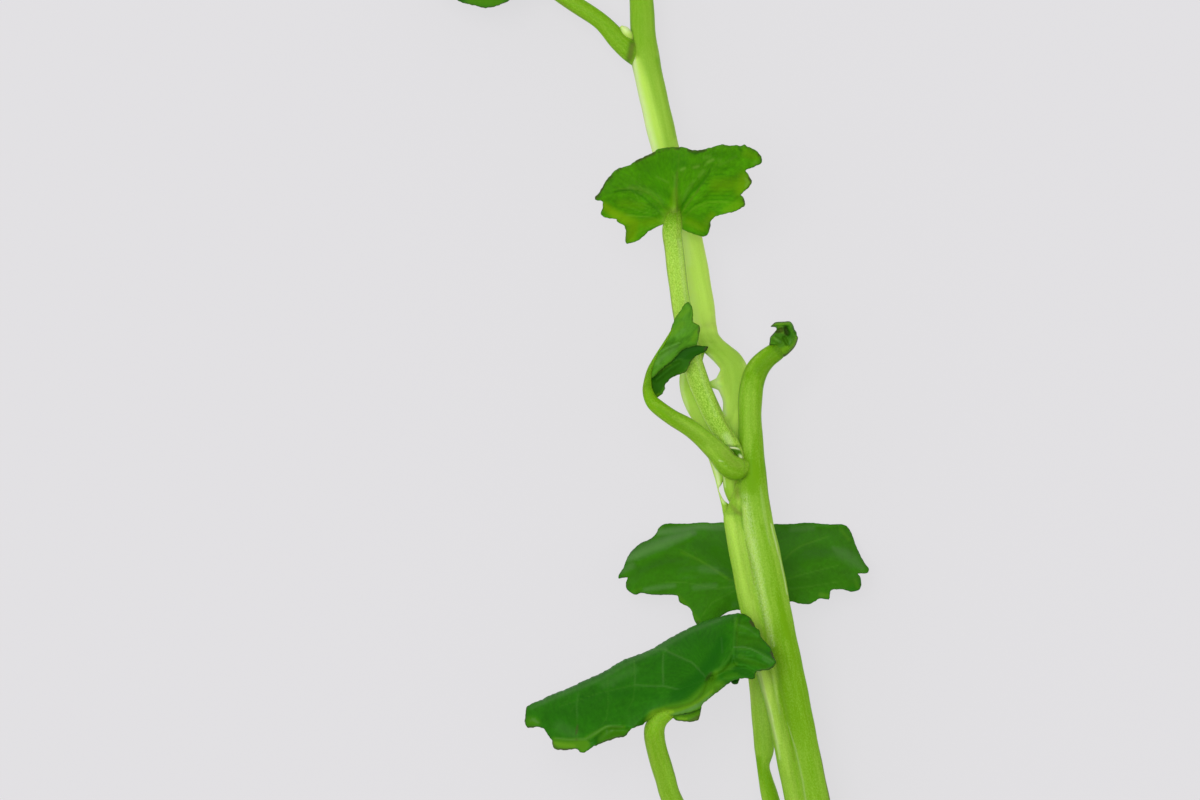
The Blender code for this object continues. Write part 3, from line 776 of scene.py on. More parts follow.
def fibre_group():
    """Long streaks and fine grains that run along a stem, and dots where its skin is frosty."""
    inputs = [(name, "NodeSocketFloat", 0.5) for name in ("Streak Contrast", "Grain Contrast")]
    outputs = [(name, "NodeSocketFloat") for name in ("Streaks", "Grains", "Dots")]
    tree, given, out = new_group("Stem Fibres", inputs, outputs)
    place = mark_value(tree, "fibre", "Vector")
    streak = noise(tree, scaled_vector(tree, place, (2.6, 2.6, 0.14)), 1.0, 3.0, 0.6)
    streak = spread(tree, streak, 0.3, 0.7, -1.0, 1.0)
    feed(tree, out["Streaks"], maths(tree, "MULTIPLY", streak, given["Streak Contrast"]))
    grain = noise(tree, scaled_vector(tree, place, (8.5, 8.5, 6.0)), 1.0, 2.0, 0.7)
    grain = spread(tree, grain, 0.35, 0.68, -1.0, 1.0)
    feed(tree, out["Grains"], maths(tree, "MULTIPLY", grain, given["Grain Contrast"]))
    cells = new_node(
        tree, "ShaderNodeTexVoronoi", Vector=scaled_vector(tree, place, (7.5, 7.5, 5.0)), Scale=1.0
    )
    dots = spread(tree, cells.outputs["Distance"], 0.15, 0.75, 1.0, 0.0)
    feed(tree, out["Dots"], maths(tree, "MULTIPLY", dots, mark_value(tree, "frost")))
    return tree


def net_group():
    """The fine net of veinlets in a blade, and cloudy patches of lighter and darker green."""
    outputs = [(name, "NodeSocketFloat") for name in ("Net", "Patches", "Pores", "Ribs")]
    tree, given, out = new_group("Leaf Net", [("Net Strength", "NodeSocketFloat", 0.5)], outputs)
    place = new_node(tree, "ShaderNodeTexCoord").outputs["Object"]
    warp = new_node(tree, "ShaderNodeTexNoise", Vector=place, Scale=900.0, Detail=1.0)
    shift = scaled_vector(tree, warp.outputs["Color"], (0.0006, 0.0006, 0.0006))
    bent = new_node(tree, "ShaderNodeVectorMath")
    feed(tree, bent.inputs[0], place)
    feed(tree, bent.inputs[1], shift)
    cells = new_node(
        tree, "ShaderNodeTexVoronoi", feature="DISTANCE_TO_EDGE", Vector=bent.outputs[0],
        Scale=1150.0,
    )
    line = spread(tree, cells.outputs["Distance"], 0.0, 0.11, 1.0, 0.0)
    feed(tree, out["Net"], maths(tree, "MULTIPLY", line, given["Net Strength"]))
    patch = noise(tree, place, 420.0, 3.0)
    feed(tree, out["Patches"], spread(tree, patch, 0.32, 0.68, -1.0, 1.0))
    feed(tree, out["Pores"], noise(tree, place, 9000.0, 1.0))
    rib = noise(tree, mark_value(tree, "flow", "Vector"), 6.0, 3.0, 0.65)
    feed(tree, out["Ribs"], spread(tree, rib, 0.33, 0.67, -1.0, 1.0))
    return tree


def paint_group():
    """A base colour with dark, warm, bright, light and brown paint laid over it in turn."""
    defaults = (
        ("Base", (0.2, 0.4, 0.02, 1)), ("Dark", (0.05, 0.2, 0.01, 1)),
        ("Warm", (0.3, 0.5, 0.02, 1)), ("Bright", (0.3, 0.5, 0.02, 1)),
        ("Light", (0.6, 0.8, 0.4, 1)), ("Brown", (0.1, 0.06, 0.02, 1)),
    )
    inputs = [(name, "NodeSocketColor", colour) for name, colour in defaults]
    tree, given, out = new_group("Laid Paint", inputs, [("Color", "NodeSocketColor")])
    colour = given["Base"]
    for kind in ("Dark", "Warm", "Bright", "Light", "Brown"):
        colour = mixed(tree, mark_value(tree, kind.lower()), colour, given[kind])
    feed(tree, out["Color"], colour)
    return tree


def placed_group(tree, name, maker, **values):
    """The outputs of a node that holds the group of that name, which is made once."""
    node = tree.nodes.new("ShaderNodeGroup")
    node.node_tree = bpy.data.node_groups.get(name) or maker()
    for key, value in values.items():
        feed(tree, node.inputs[key.replace("_", " ")], value)
    return node.outputs


def new_material(name, roughness, specular):
    """A material with a Principled BSDF, and its tree and shader."""
    material = bpy.data.materials.new(name)
    material.use_nodes = True
    tree = material.node_tree
    shader = tree.nodes["Principled BSDF"]
    shader.inputs["Roughness"].default_value = roughness
    shader.inputs["Specular IOR Level"].default_value = specular
    return material, tree, shader


def stem_material(name, streaks, grains, grain_depth):
    """Skin of a stem: its tone along the length, fibres, grains and painted strokes."""
    material, tree, shader = new_material(name, 0.42, 0.04)
    shader.inputs["Subsurface Weight"].default_value = 0.5
    shader.inputs["Subsurface Radius"].default_value = (0.6, 1.0, 0.25)
    shader.inputs["Subsurface Scale"].default_value = 0.0012
    paint = colours()
    fibres = placed_group(
        tree, "Stem Fibres", fibre_group, Streak_Contrast=streaks, Grain_Contrast=grains
    )
    tone = maths(tree, "ADD", mark_value(tree, "tone"), fibres["Streaks"])
    tone = spread(tree, maths(tree, "ADD", tone, fibres["Grains"]), 0.0, 1.0)
    base = mixed(tree, tone, paint.stem_deep, paint.stem_pale)
    dotted = mixed(tree, fibres["Dots"], base, paint.stem_frost_and_highlight)
    # Light paint lays painted highlights in the frost colour; dark paint lays painted shade,
    # mostly in creases and along edges.
    laid = placed_group(
        tree, "Laid Paint", paint_group, Base=dotted, Light=paint.stem_frost_and_highlight,
        Dark=paint.stem_shade, Brown=(0.15, 0.15, 0.03),
    )
    pith = new_node(tree, "ShaderNodeTexVoronoi", Scale=4200.0).outputs["Distance"]
    pith_colour = mixed(tree, pith, (0.36, 0.56, 0.12), (0.62, 0.74, 0.36))
    skin_colour = mixed(tree, mark_value(tree, "cut"), laid["Color"], pith_colour)
    feed(tree, shader.inputs["Base Color"], skin_colour)
    rough = spread(tree, fibres["Grains"], -0.4, 0.4, 0.36, 0.5)
    feed(tree, shader.inputs["Roughness"], rough)
    height = maths(tree, "ADD", fibres["Grains"], fibres["Streaks"])
    bump = new_node(tree, "ShaderNodeBump", Strength=0.3, Distance=grain_depth, Height=height)
    feed(tree, shader.inputs["Normal"], bump.outputs["Normal"])
    return material


def leaf_material(name, base, greens, net_strength, patchiness, glow, roughness, specular):
    """A blade: cloudy green, a net of veinlets, veins, laid paint and a red-brown margin.

    greens holds the colours of the veins and of the light, dark, warm and bright places. glow is
    the colour of light that comes through the blade, or None.
    """
    material, tree, shader = new_material(name, roughness, specular)
    vein, light, dark, warm, bright = greens
    margin = colours().margin
    net = placed_group(tree, "Leaf Net", net_group, Net_Strength=net_strength)
    clouds = maths(tree, "MULTIPLY", net["Patches"], 0.5)
    mottle = maths(tree, "ADD", clouds, maths(tree, "MULTIPLY", net["Ribs"], 0.6))
    patch = spread(tree, mottle, -1.0, 1.0, 0.5 - patchiness, 0.5 + patchiness)
    cloudy = mixed(tree, patch, *([part * shade for part in base] for shade in CLOUD_SHADES))
    netted = mixed(tree, net["Net"], cloudy, vein)
    veined = mixed(tree, maths(tree, "MULTIPLY", mark_value(tree, "vein"), 0.75), netted, vein)
    # The light paint lays painted sheen and some pale veins; the dark paint is partly painted
    # shade.
    laid = placed_group(
        tree, "Laid Paint", paint_group, Base=veined, Dark=dark, Warm=warm, Bright=bright,
        Light=light, Brown=margin,
    )
    worn = spread(tree, net["Patches"], -1.0, 1.0, 0.45, 1.1)
    rim = maths(tree, "MULTIPLY", mark_value(tree, "rim"), worn)
    feed(tree, shader.inputs["Base Color"], mixed(tree, rim, laid["Color"], margin))
    rough = spread(tree, net["Pores"], 0.3, 0.7, roughness - 0.06, roughness + 0.08)
    feed(tree, shader.inputs["Roughness"], rough)
    pores = maths(tree, "MULTIPLY", net["Pores"], 0.5)
    grooves = maths(tree, "ADD", pores, maths(tree, "MULTIPLY", net["Ribs"], 0.35))
    height = maths(tree, "ADD", grooves, net["Net"])
    bump = new_node(tree, "ShaderNodeBump", Strength=0.4, Distance=0.00004, Height=height)
    feed(tree, shader.inputs["Normal"], bump.outputs["Normal"])
    if glow:
        through = new_node(tree, "ShaderNodeBsdfTranslucent", Color=glow)
        blend = tree.nodes.new("ShaderNodeMixShader")
        blend.inputs[0].default_value = 0.25
        tree.links.new(shader.outputs[0], blend.inputs[1])
        tree.links.new(through.outputs[0], blend.inputs[2])
        tree.links.new(blend.outputs[0], tree.nodes["Material Output"].inputs["Surface"])
    return material


# Skins of the stems: the strengths of their streaks and grains, and the depth of the grains
STEM_SKINS = {
    "main_stem_skin": (0.11, 0.13, 0.00006),
    "rear_stem_skin": (0.09, 0.06, 0.00004),
    "stalk_skin": (0.08, 0.12, 0.00005),
    "dotted_stalk_skin": (0.06, 0.34, 0.00009),
}
# Skins of the blades: the name of their main colour, the greens of their veins and of their light,
# dark, warm and bright places, then net strength, patchiness, glow, roughness and specular
LEAF_SKINS = {
    "upper_leaf_skin": (
        "leaf_light", ((0.15, 0.39, 0.012), (0.24, 0.50, 0.05), (0.03, 0.20, 0.001),
                       (0.19, 0.42, 0.003), (0.36, 0.60, 0.06)),
        0.08, 0.5, (0.10, 0.36, 0.004), 0.5, 0.04,
    ),
    "young_leaf_skin": (
        "leaf_young", ((0.08, 0.25, 0.02), (0.12, 0.29, 0.055), (0.012, 0.085, 0.001),
                       (0.12, 0.29, 0.006), (0.17, 0.37, 0.012)),
        0.06, 0.42, None, 0.45, 0.04,
    ),
    "dark_leaf_skin": (
        "leaf_dark", ((0.05, 0.19, 0.012), (0.10, 0.23, 0.06), (0.006, 0.088, 0.001),
                      (0.075, 0.23, 0.005), (0.20, 0.40, 0.015)),
        0.06, 0.42, None, 0.42, 0.05,
    ),
}


def skin(name):
    """The material of that name, made once."""
    known = bpy.data.materials.get(name)
    if known:
        return known
    if name in STEM_SKINS:
        return stem_material(name, *STEM_SKINS[name])
    base, *looks = LEAF_SKINS[name]
    return leaf_material(name, getattr(colours(), base), *looks)


# Paint, by kind: (strength, ((x, y, half width), ...)) for a stroke, or for an area (strength,
# ((x, y), ...), softness)
MAIN_STEM_PAINTS = {
    "pale": (
        # Painted light: the stem's left side and a line along its top painted paler, as lit from
        # the left.
        (0.42, ((7.8, -11.9, 1), (8.5, -13.6, 1.3), (9, -16, 1.3), (9.5, -18.6, 1.2),
            (10.3, -21.5, 1.1), (11, -24.4, 0.8), (11.3, -26.2, 0.8))),
        (0.3, ((8.8, -9.7, 0.4), (8.9, -10.3, 0.35))),
        (0.3, ((7.7, -14.6, 0.3), (8.15, -17, 0.4), (8.7, -19.5, 0.4), (9.3, -22, 0.3))),
        (0.32, ((9.4, -10.6, 0.4), (9.6, -12.6, 0.5), (10.3, -15, 0.6), (10.95, -17.2, 0.5),
            (11.4, -19.8, 0.45), (11.8, -22.6, 0.4), (11.9, -25, 0.2))),
        # Painted light: these pale strokes lift the shade that the front leaf casts on the stem.
        (0.95, ((11, -26.3, 0.9), (11.5, -28.2, 1.1), (11.8, -29.4, 0.9), (12.1, -31, 0.3))),
        (0.65, ((11.5, -28.2, 1.2), (12.2, -31, 1.2), (12.6, -32.6, 0.9), (13, -34.4, 0.3))),
        (0.4, ((12.2, -31, 1.3), (12.9, -33.6, 1.3), (13.4, -35.6, 0.9), (13.9, -37.6, 0.3))),
        (0.2, ((12.9, -33.6, 1.2), (13.6, -37, 1.1), (14.4, -40.5, 1))),
        (0.5, ((12.2, -26.2, 0.5), (12.45, -28, 0.5), (12.6, -29.4, 0.35), (12.75, -30.6, 0.1))),
        (0.3, ((11.6, -19.6, 0.2), (11.95, -21.4, 0.5), (12.1, -22.8, 0.5), (12.3, -24.6, 0.2))),
        (0.14, ((9.6, 1.6, 0.8), (9.6, -0.6, 1), (9.7, -3, 1), (9.7, -4.8, 0.8))),
        (0.14, ((10.4, 0.8, 0.5), (10.4, -3, 0.5))),
        (0.2, ((9.9, 3, 0.3), (10.6, 4.2, 0.35), (11.6, 5, 0.3))),
    ),
    # Painted highlights along the stem's top and edges, and light painted where the front leaf's
    # shadow falls.
    "light": (
        (0.5, ((10.8, -27, 0.11), (11.2, -28.4, 0.13), (12, -30.8, 0.12), (12.35, -32.2, 0.07))),
        (0.42, ((10.7, -26.6, 0.35), (11.05, -28, 0.38), (11.6, -30, 0.36), (12.15, -32, 0.3),
            (12.75, -34.5, 0.25), (13, -36, 0.12))),
        (0.1, ((12.3, -27.6, 0.2), (12.6, -29.2, 0.22), (13, -31.4, 0.15))),
        (0.07, ((9.6, -10.4, 0.4), (9.9, -12.5, 0.6), (10.5, -15.5, 0.6), (11.2, -19, 0.5),
            (11.8, -22.5, 0.3))),
        (0.2, ((13.7, -32.2, 0.03), (14.6, -35, 0.14), (15.3, -38.2, 0.14), (15.6, -40.2, 0.12))),
        (0.12, ((11, -8.4, 0.05), (11.15, -9.6, 0.25), (11.35, -11, 0.3), (11.75, -13.4, 0.2),
            (12, -14.6, 0.05))),
        (0.5, ((12.1, -12.4, 0.07), (13, -16, 0.09), (13.75, -19.5, 0.08))),
    ),
    "deep": (
        (0.12, ((8.6, -13.2, 0.4), (9, -15, 0.4), (9.6, -17.2, 0.4), (10.25, -19.8, 0.35))),
        (0.15, ((11.2, -12.6, 0.5), (12, -16, 0.5), (12.7, -19.5, 0.6), (13.5, -23.5, 0.8))),
        (0.22, ((10, -6.4, 0.7), (10.3, -7.6, 0.9), (10.3, -9, 0.7))),
    ),
    # Mostly painted shade: in the creases by the ridge and the stalks, towards the curled leaf at
    # the stem's end, and in a thin line along its right edge.
    "dark": (
        (0.45, ((9.1, -10.9, 0.14), (9.15, -12, 0.18), (9.3, -12.9, 0.1))),
        (0.3, ((7.5, -11.3, 0.3), (8.3, -11.35, 0.3), (9.1, -11.2, 0.25))),
        (0.45, ((14.9, -24, 0.1), (16, -29.6, 0.12), (17.2, -36, 0.12), (18, -40, 0.14))),
        (0.5, ((9.9, -7.3, 0.16), (9.5, -7.75, 0.2), (9, -8.1, 0.16), (8.6, -8.4, 0.1))),
        (0.35, ((10.9, 3, 0.9), (11.9, 4, 1.1), (12.9, 5, 1.2))),
        (0.65, ((12.2, 5.9, 0.4), (12.6, 5.2, 0.8), (13.3, 4.4, 0.7))),
        (0.35, ((11.25, 1.4, 0.2), (11.6, 2.7, 0.25), (12.4, 3.7, 0.3), (13.1, 4.2, 0.3))),
        (0.25, ((11, 2.2, 0.4), (11.7, 3.4, 0.5), (12.6, 4.2, 0.5))),
    ),
    "brown": (
        (0.45, ((7.9, -10.4, 0.4), (8.3, -10.8, 0.4), (9, -11.4, 0.35))),
        (0.4, ((9.5, -14, 0.08), (9.85, -15.3, 0.11), (10.15, -17, 0.1), (10.4, -18.4, 0.07))),
        (0.25, ((13, -30.4, 0.1), (13.8, -33.6, 0.12), (14.45, -36.2, 0.1))),
        (0.4, ((11.55, -4, 0.12), (11.7, -8, 0.12), (12, -11, 0.1))),
        # Brown, and partly painted shade, in a thin line along the stem's right edge.
        (0.55, ((14.9, -24, 0.12), (16, -29.6, 0.14), (17.2, -36, 0.14), (18, -40, 0.16))),
        (0.3, ((10.9, -26.8, 0.14), (11.3, -28.8, 0.14), (12, -31.6, 0.16), (12.6, -34.3, 0.16))),
        (0.4, ((8.6, -8.9, 0.5), (8.7, -9.6, 0.5))),
        (0.2, ((9, 1.2, 0.1), (9.5, 2.9, 0.12), (10.4, 4.3, 0.14), (11.6, 5.4, 0.14))),
        (0.12, ((8.85, -3.5, 0.14), (8.8, -1, 0.12), (8.85, 1, 0.1))),
    ),
    "frost": (
        (0.34, ((9.5, -9.6, 0.6), (9.8, -12, 0.9), (10.3, -15, 0.9), (10.9, -18.2, 0.8),
            (11.6, -21.5, 0.6), (12.3, -24.5, 0.4))),
    ),
}
UPPER_STEM_PAINTS = {
    # Painted light and shade: the stem's left side painted lighter and its right side deeper, as
    # lit from the left, and light painted in under the upper leaf's shadow.
    "light": (
        (0.6, ((-1.6, 34.2, 0.3), (-1.25, 31.5, 0.6), (-0.55, 28.5, 0.75), (0, 26.5, 0.7),
            (0.5, 25, 0.6))),
        (0.2, ((2.9, 18.4, 0.7), (3.6, 15.2, 0.8), (3.8, 13.6, 0.6))),
        (0.1, ((3.6, 13.8, 0.6), (4.2, 10.5, 0.6), (4.6, 8, 0.6), (5, 7, 0.5))),
    ),
    "pale": (
        (0.6, ((-1.3, 34, 0.6), (-0.6, 31, 1), (0.1, 28, 1.2), (0.8, 25, 1.2))),
        (0.85, ((2.7, 18.6, 0.9), (3.4, 14, 0.8), (4.2, 9.8, 0.7), (4.9, 7.2, 0.5))),
    ),
    "deep": (
        (0.2, ((0.9, 34, 0.6), (1.8, 30, 0.7), (2.5, 26.5, 0.6))),
        (0.15, ((4.6, 18, 0.5), (5.3, 13, 0.5), (6, 9, 0.4))),
    ),
    "dark": (
        (0.1, ((4.4, 6, 0.3), (5.6, 5.9, 0.3), (6.6, 5.9, 0.3))),
        (0.5, ((-2, 33.8, 0.35), (-1.7, 35.4, 0.4), (-1.75, 36.4, 0.25))),
    ),
    "brown": ((0.5, ((-1.9, 34, 0.3), (-1.65, 35.6, 0.35))),),
}
LOWER_REAR_PAINTS = {
    # Painted light: the left side lit from the left, and pale strokes on the right side that lift
    # the main stem's shadow.
    "light": (
        (0.45, ((5.9, 4.5, 0.3), (6.5, 3.6, 0.4), (6.75, 2.6, 0.4), (6.6, 1.9, 0.6),
            (6.9, 1, 0.45), (7.3, 0, 0.4), (7.5, -1.4, 0.35))),
        (0.4, ((7.35, -7.5, 0.2), (7.5, -8.6, 0.15))),
    ),
    "pale": (
        (0.45, ((6.2, 4.2, 0.7), (6.9, 3, 0.8), (6.7, 1.9, 0.9), (7.3, 0.4, 0.9),
            (7.6, -1.4, 0.9))),
        (0.35, ((9.4, 3.6, 0.4), (9.9, 2, 0.5), (9.6, 0, 0.5), (8.4, -2.4, 0.8),
            (8.3, -3.6, 0.8))),
        (0.2, ((9.7, 3.4, 0.4), (9.8, 1.6, 0.4))),
    ),
    "brown": (
        (0.45, ((8.6, -8.5, 0.4), (8.9, -9.3, 0.5), (9, -10.2, 0.5))),
        (0.35, ((7.6, -10.7, 0.4), (9, -10.7, 0.4))),
    ),
    "dark": (
        (0.25, ((7.6, -11.3, 0.3), (9, -11.3, 0.3))),
        (0.1, ((4.6, 5.9, 0.3), (5.8, 5.9, 0.3), (6.6, 5.8, 0.3))),
    ),
}
SIDE_STALK_PAINTS = {
    "light": (
        (0.7, ((7.4, -10.2, 0.3), (7, -8.9, 0.3), (6.7, -7.4, 0.35), (6.1, -5.6, 0.3))),
        (0.3, ((3.3, 3, 0.3), (3.2, 1, 0.35), (3.8, -1, 0.3))),
    ),
    "brown": ((0.4, ((7.8, -10.7, 0.5), (8.2, -11, 0.5))),),
}
UPPER_STALK_PAINTS = {
    # Painted light and shade: a highlight along the stalk's top and thin dark lines along both its
    # edges. The broad dark stroke where it meets the upper leaf turns it to the leaf's green.
    "light": (
        (0.14, ((6.6, -1.6, 0.2), (5.4, 1.6, 0.25), (4.55, 4.6, 0.28), (3.85, 8, 0.3),
            (3.3, 12, 0.3), (2.9, 16, 0.3))),
        (0.6, ((4, 1.15, 0.12), (4.1, 0.9, 0.1))), (0.3, ((7.6, -3.6, 0.6), (8, -4.3, 0.5))),
    ),
    "dark": (
        (0.35, ((8.3, -3.6, 0.1), (7.35, -1.8, 0.08), (5.9, 1.9, 0.1), (5.1, 4.5, 0.1),
            (4.3, 8, 0.1), (3.65, 12, 0.1), (3.25, 16, 0.1))),
        (0.3, ((3, 4.2, 0.12), (2.4, 8, 0.12), (1.75, 12, 0.12), (1.35, 16, 0.1))),
        (0.8, ((7.7, -4.5, 0.16), (8.3, -4.65, 0.2), (8.9, -4.6, 0.16))),
        (0.25, ((3, 14.8, 0.07), (2.95, 14.5, 0.07))),
        (0.3, ((1.4, 15.8, 0.08), (1.45, 15.6, 0.08))),
        (0.5, ((2.4, 18.9, 1.2), (2.5, 20, 1), (2.7, 22.2, 0.8))),
    ),
    "brown": (
        (0.3, ((1.35, 16.6, 0.14), (1.8, 12, 0.14), (2.4, 8, 0.14))),
        (0.5, ((5.3, 3.7, 0.1), (5.5, 3.2, 0.1))),
        (0.45, ((6.5, 0, 0.12), (7, -1.2, 0.14), (7.6, -2.4, 0.14), (8.5, -3.9, 0.1))),
        (0.25, ((2.75, 15, 0.09), (2.7, 18.6, 0.12), (2.65, 20.6, 0.12), (2.75, 22, 0.1))),
    ),
    "pale": ((0.25, ((3.15, 4.1, 0.3), (4, 1.2, 0.32), (5.3, -1.7, 0.32), (6.45, -3.8, 0.3))),),
}
FOLDED_STALK_PAINTS = {
    "dark": (
        # Painted shade in the crease where the stalk's base meets the main stem.
        (0.3, ((9.8, -7.3, 0.12), (9.3, -7.7, 0.16), (8.7, -7.95, 0.18), (8, -7.85, 0.14),
            (7.3, -7.3, 0.12))),
        (0.4, ((-0.2, 1.4, 0.6), (-0.1, 2.8, 0.6), (0.6, 4.3, 0.6), (2.4, 7.8, 0.5))),
    ),
    "brown": (
        (0.2, ((7.4, -5.4, 0.6), (8.1, -6.2, 0.6), (8.9, -6.6, 0.5))),
        (0.12, ((1.6, -1.2, 0.2), (3.2, -2.5, 0.8), (5.2, -3.9, 0.9), (7.2, -5.3, 0.8))),
        (0.4, ((-0.62, 0.5, 0.14), (-0.6, 1.9, 0.14), (-0.25, 3.1, 0.12), (0.42, 4.4, 0.1),
            (2.3, 7.8, 0.1))),
        (0.3, ((0.4, -1.3, 0.14), (2, -2.5, 0.16), (4, -3.9, 0.16), (6, -5.9, 0.16))),
        (0.25, ((1, 0.1, 0.12), (2.4, -0.95, 0.14), (4.2, -2, 0.14))),
    ),
    "light": (
        (0.6, ((6.98, -6.05, 0.1), (7.15, -6.15, 0.1))),
        (0.3, ((7.6, -6.6, 0.07), (7.65, -6.65, 0.07))),
    ),
    "deep": ((0.15, ((0.9, -0.9, 0.4), (3.2, -2.8, 0.5), (5.4, -4.4, 0.5))),),
    "pale": ((0.1, ((0.3, -0.2, 0.3), (2.4, -1.4, 0.35), (5.4, -3.4, 0.35))),),
}
TOP_STALK_PAINTS = {
    "dark": ((0.7, ((-2.3, 33.7, 0.3), (-2, 34.4, 0.6), (-1.8, 35.8, 0.5))),),
    "brown": (
        (0.6, ((-2, 34.3, 0.45), (-1.75, 35.6, 0.35))),
        (0.3, ((-3.6, 34.9, 0.2), (-6, 37.6, 0.2), (-9, 39.9, 0.2))),
    ),
}
FRONT_STALK_PAINTS = {
    "brown": (
        (0.3, ((-0.75, -32.6, 0.12), (-0.4, -34, 0.14), (0.4, -37, 0.14), (1.1, -40, 0.14))),
        (0.2, ((1.45, -33, 0.12), (1.9, -35.6, 0.12), (3.2, -40, 0.14))),
        (0.12, ((0.2, -34, 0.8), (0.8, -36, 0.8), (1.8, -40, 0.8))),
    ),
}
STRIP_PAINTS = {
    "deep": ((0.3, ((10.8, -36, 0.6), (11.6, -38, 0.8), (12.3, -40, 0.9))),),
}
FRONT_AXIL_PAINTS = {
    "dark": ((1, ((8.2, -4.95, 0.5), (8.8, -5.2, 0.5), (8.9, -5.4, 0.4))),),
    "light": (
        (1, ((8, -4.75, 0.14), (8.5, -4.78, 0.14), (9, -4.9, 0.12))),
        (1, ((9.1, -5.75, 0.3), (9, -5.6, 0.25))),
    ),
}

